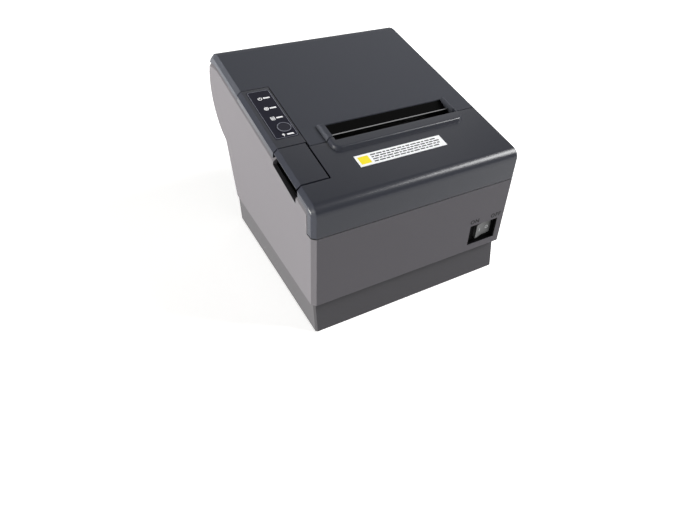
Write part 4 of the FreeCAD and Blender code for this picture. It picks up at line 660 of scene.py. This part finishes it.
class PRINTER_OT_switch(Operator):
    """Add the raised letters above the power switch and the marks on its rocker"""

    bl_idname = "printer.switch"
    bl_label = "Power switch"

    def execute(self, context):
        sizes, colours = context.scene.printer_sizes, context.scene.printer_colours
        # Raised ABS letters painted near black: painted shadow, standing for the shadows that these raised letters
        # of the case's plastic cast
        raised = smooth_finish("abs_raised_letters", colours.letters, 0.6, gloss=0.2)
        for text, middle in LETTER_MIDDLES.items():
            mesh = letters_mesh(text, sizes.letter_height, sizes.letter_rise)
            place = Matrix.Translation((LEFT_SIDE + middle, FRONT_SIDE, LETTER_FOOT))
            mesh.transform(place @ Matrix.Rotation(math.radians(90), 4, "X"))
            piece = bpy.data.objects.new("letters_" + text.lower(), mesh)
            context.scene.collection.objects.link(piece)
            paint(piece, raised)
            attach(piece, "case")
        # Near-black lining on the walls of the switch window: painted shade of the recess, matt as the housing
        # behind it
        dark = smooth_finish("abs_black_collar_painted_shade", colours.dark, 0.6, gloss=0.02)
        edge = SHADE_LINING / 2
        border = round_box(
            (WINDOW_LOW[0] + edge, WINDOW_LOW[1] + edge), (WINDOW_HIGH[0] - edge, WINDOW_HIGH[1] - edge), edge
        )
        inside = sheet_of((LEFT_SIDE, FRONT_SIDE + WINDOW_BACK, 0.0), ACROSS, UP, np.cross(ACROSS, UP))
        points, faces = stroke(border, SHADE_LINING, WINDOW_BACK - WINDOW_FRONT, True)
        piece_from("switch_window_painted_shade", laid_on(inside, points), faces, "case", dark)
        # Pad-printed pale grey ink
        pale = smooth_finish("pad_ink_grey", linear("#B4B5B6"), 0.6)
        middle = (ROCKER_VALLEY + ROCKER_EDGE) / 2
        lean = math.atan2(ROCKER_EDGE - ROCKER_VALLEY, ROCKER_HALF)
        ring = stroke(arc((0, 0), RING_RADIUS, 0, 360, 33)[:-1], RING_LINE, sizes.ink, True)
        bar = stroke([(0, -BAR_HALF), (0, BAR_HALF)], BAR_LINE, sizes.ink, False)
        rest, out = turned(ROCKER_TILT)
        for name, side, drawing in (("rocker_off_mark", 1, ring), ("rocker_on_mark", -1, bar)):
            across, outward = turned(ROCKER_TILT - side * lean)
            centre = np.array(SWITCH_AXIS) + side * ROCKER_HALF / 2 * rest + middle * out
            surface = sheet_of(centre, across, UP, outward)
            piece_from(name, laid_on(surface, drawing[0]), drawing[1], "rocker", pale)
        return {"FINISHED"}


# Camera of the photograph: place and turn found from the case's edges, in the printer's frame

CAMERA_PLACE = Vector((-175.5, -297.7, 271.9)) * MM
CAMERA_AZIMUTH, CAMERA_ELEVATION, CAMERA_ROLL = -31.45, 37.01, -3.26
IMAGE_WIDTH, IMAGE_HEIGHT = 700, 525
FOCAL_PIXELS = 567.3
AXIS_PIXEL = (357.0, 215.0)
SENSOR = 36.0

# Stage: light of the room, what the eye sees of it, and lamps by place, width, height, power and tint

ROOM_LIGHT, GLOW = 0.15, 0.6
FLOOR_REACH, PAPER = 3.0, (0.9, 0.9, 0.9, 1.0)
LAMP_TARGET = (0.0, 0.0, 0.06)
WHITE, WARM = (1.0, 1.0, 1.0), (1.0, 0.99, 0.94)
LAMPS = {
    "left_lamp": ((-1.75, 0.2, 0.12), 1.2, 0.25, 100.0, WARM),
    "deck_lamp": ((0.9, 1.1, 1.2), 0.9, 0.9, 1.8, WHITE),
    "front_lamp": ((1.4, -0.7, 1.2), 0.8, 0.8, 50.0, WHITE),
}


def add_camera():
    """Camera at the photograph's place, turned by azimuth, elevation and roll."""
    data = bpy.data.cameras.new("camera")
    data.sensor_width = SENSOR
    data.lens = FOCAL_PIXELS / IMAGE_WIDTH * SENSOR
    data.shift_x = (IMAGE_WIDTH / 2 - AXIS_PIXEL[0]) / IMAGE_WIDTH
    data.shift_y = (AXIS_PIXEL[1] - IMAGE_HEIGHT / 2) / IMAGE_WIDTH
    data.clip_start = 0.01
    camera = bpy.data.objects.new("camera", data)
    azimuth = Matrix.Rotation(math.radians(CAMERA_AZIMUTH), 4, "Z")
    tip = Matrix.Rotation(math.radians(90 - CAMERA_ELEVATION), 4, "X")
    roll = Matrix.Rotation(math.radians(-CAMERA_ROLL), 4, "Z")
    camera.matrix_world = Matrix.Translation(CAMERA_PLACE) @ azimuth @ tip @ roll
    bpy.context.scene.collection.objects.link(camera)
    bpy.context.scene.camera = camera


def add_lamp(name, place, wide, high, power, tint):
    """Soft box: a rectangular lamp that faces the printer."""
    data = bpy.data.lights.new(name, "AREA")
    data.shape = "RECTANGLE"
    data.size = wide
    data.size_y = high
    data.energy = power
    data.color = tint
    lamp = bpy.data.objects.new(name, data)
    way = Vector(LAMP_TARGET) - Vector(place)
    lamp.matrix_world = Matrix.Translation(place) @ way.to_track_quat("-Z", "Y").to_matrix().to_4x4()
    bpy.context.scene.collection.objects.link(lamp)


def seen_rays(tree):
    """One for what the eye sees, straight, mirrored or through clear things, and nought for light."""
    rays = add_node(tree, "ShaderNodeLightPath")
    mirrored = add_node(
        tree, "ShaderNodeMath", {"operation": "MAXIMUM"},
        links={0: rays.outputs["Is Glossy Ray"], 1: rays.outputs["Is Transmission Ray"]},
    )
    seen = add_node(
        tree, "ShaderNodeMath", {"operation": "MAXIMUM"},
        links={0: rays.outputs["Is Camera Ray"], 1: mirrored.outputs[0]},
    )
    return seen.outputs[0]


def add_world():
    """Even white room light from all round, as pale to the eye as the far floor."""
    world = bpy.data.worlds.new("white_room")
    bpy.context.scene.world = world
    world.use_nodes = True
    tree = world.node_tree
    tree.nodes.clear()
    level = add_node(
        tree, "ShaderNodeMath", {"operation": "MULTIPLY_ADD"},
        inputs={1: GLOW - ROOM_LIGHT, 2: ROOM_LIGHT}, links={0: seen_rays(tree)},
    )
    light = add_node(
        tree, "ShaderNodeBackground", inputs={"Color": (1, 1, 1, 1)}, links={"Strength": level.outputs[0]},
    )
    output = add_node(tree, "ShaderNodeOutputWorld")
    tree.links.new(light.outputs[0], output.inputs["Surface"])


def add_floor():
    """White paper floor: it keeps the shadow, and to the eye it is white elsewhere."""
    far = FLOOR_REACH
    mesh = bpy.data.meshes.new("floor")
    corners = [(-far, -far, 0), (far, -far, 0), (far, far, 0), (-far, far, 0)]
    mesh.from_pydata(corners, [], [(0, 1, 2, 3)])
    floor = bpy.data.objects.new("floor", mesh)
    bpy.context.scene.collection.objects.link(floor)
    material, tree, output = new_material("paper_sweep_white")
    paper = add_node(tree, "ShaderNodeBsdfDiffuse", inputs={"Color": PAPER})
    glow = add_node(
        tree, "ShaderNodeEmission",
        inputs={"Color": (GLOW, GLOW, GLOW, 1)}, links={"Strength": seen_rays(tree)},
    )
    both = add_node(tree, "ShaderNodeAddShader", links={0: paper.outputs[0], 1: glow.outputs[0]})
    tree.links.new(both.outputs[0], output.inputs["Surface"])
    paint(floor, material)


class PRINTER_OT_stage(Operator):
    """Set up the white floor, the soft lamps, the room and the camera"""

    bl_idname = "printer.stage"
    bl_label = "Stage"

    def execute(self, context):
        context.scene.view_settings.view_transform = "Standard"
        add_floor()
        add_world()
        for name, settings in LAMPS.items():
            add_lamp(name, *settings)
        add_camera()
        return {"FINISHED"}


class PRINTER_PT_looks(Panel):
    """Lists the steps that dress the printer"""

    bl_idname = "PRINTER_PT_looks"
    bl_label = "Receipt printer"
    bl_space_type = "VIEW_3D"
    bl_region_type = "UI"
    bl_category = "Printer"

    def draw(self, context):
        for step in STEPS:
            self.layout.operator(step.bl_idname)
        for group in (context.scene.printer_sizes, context.scene.printer_colours):
            for name in group.__annotations__:
                self.layout.prop(group, name)


STEPS = (
    PRINTER_OT_mouldings,
    PRINTER_OT_mechanism,
    PRINTER_OT_panel,
    PRINTER_OT_label,
    PRINTER_OT_switch,
    PRINTER_OT_stage,
)
CLASSES = (PrinterSizes, PrinterColours, *STEPS, PRINTER_PT_looks)


def register():
    """Add the classes and the printer's settings."""
    for item in CLASSES:
        bpy.utils.register_class(item)
    bpy.types.Scene.printer_sizes = PointerProperty(type=PrinterSizes)
    bpy.types.Scene.printer_colours = PointerProperty(type=PrinterColours)


def unregister():
    """Take the settings and the classes away again."""
    del bpy.types.Scene.printer_colours
    del bpy.types.Scene.printer_sizes
    for item in reversed(CLASSES):
        bpy.utils.unregister_class(item)


def main():
    """Dress the printer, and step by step."""
    register()
    bpy.ops.printer.mouldings()
    bpy.ops.printer.mechanism()
    bpy.ops.printer.panel()
    bpy.ops.printer.label()
    bpy.ops.printer.switch()
    bpy.ops.printer.stage()


if __name__ == "__main__":
    main()
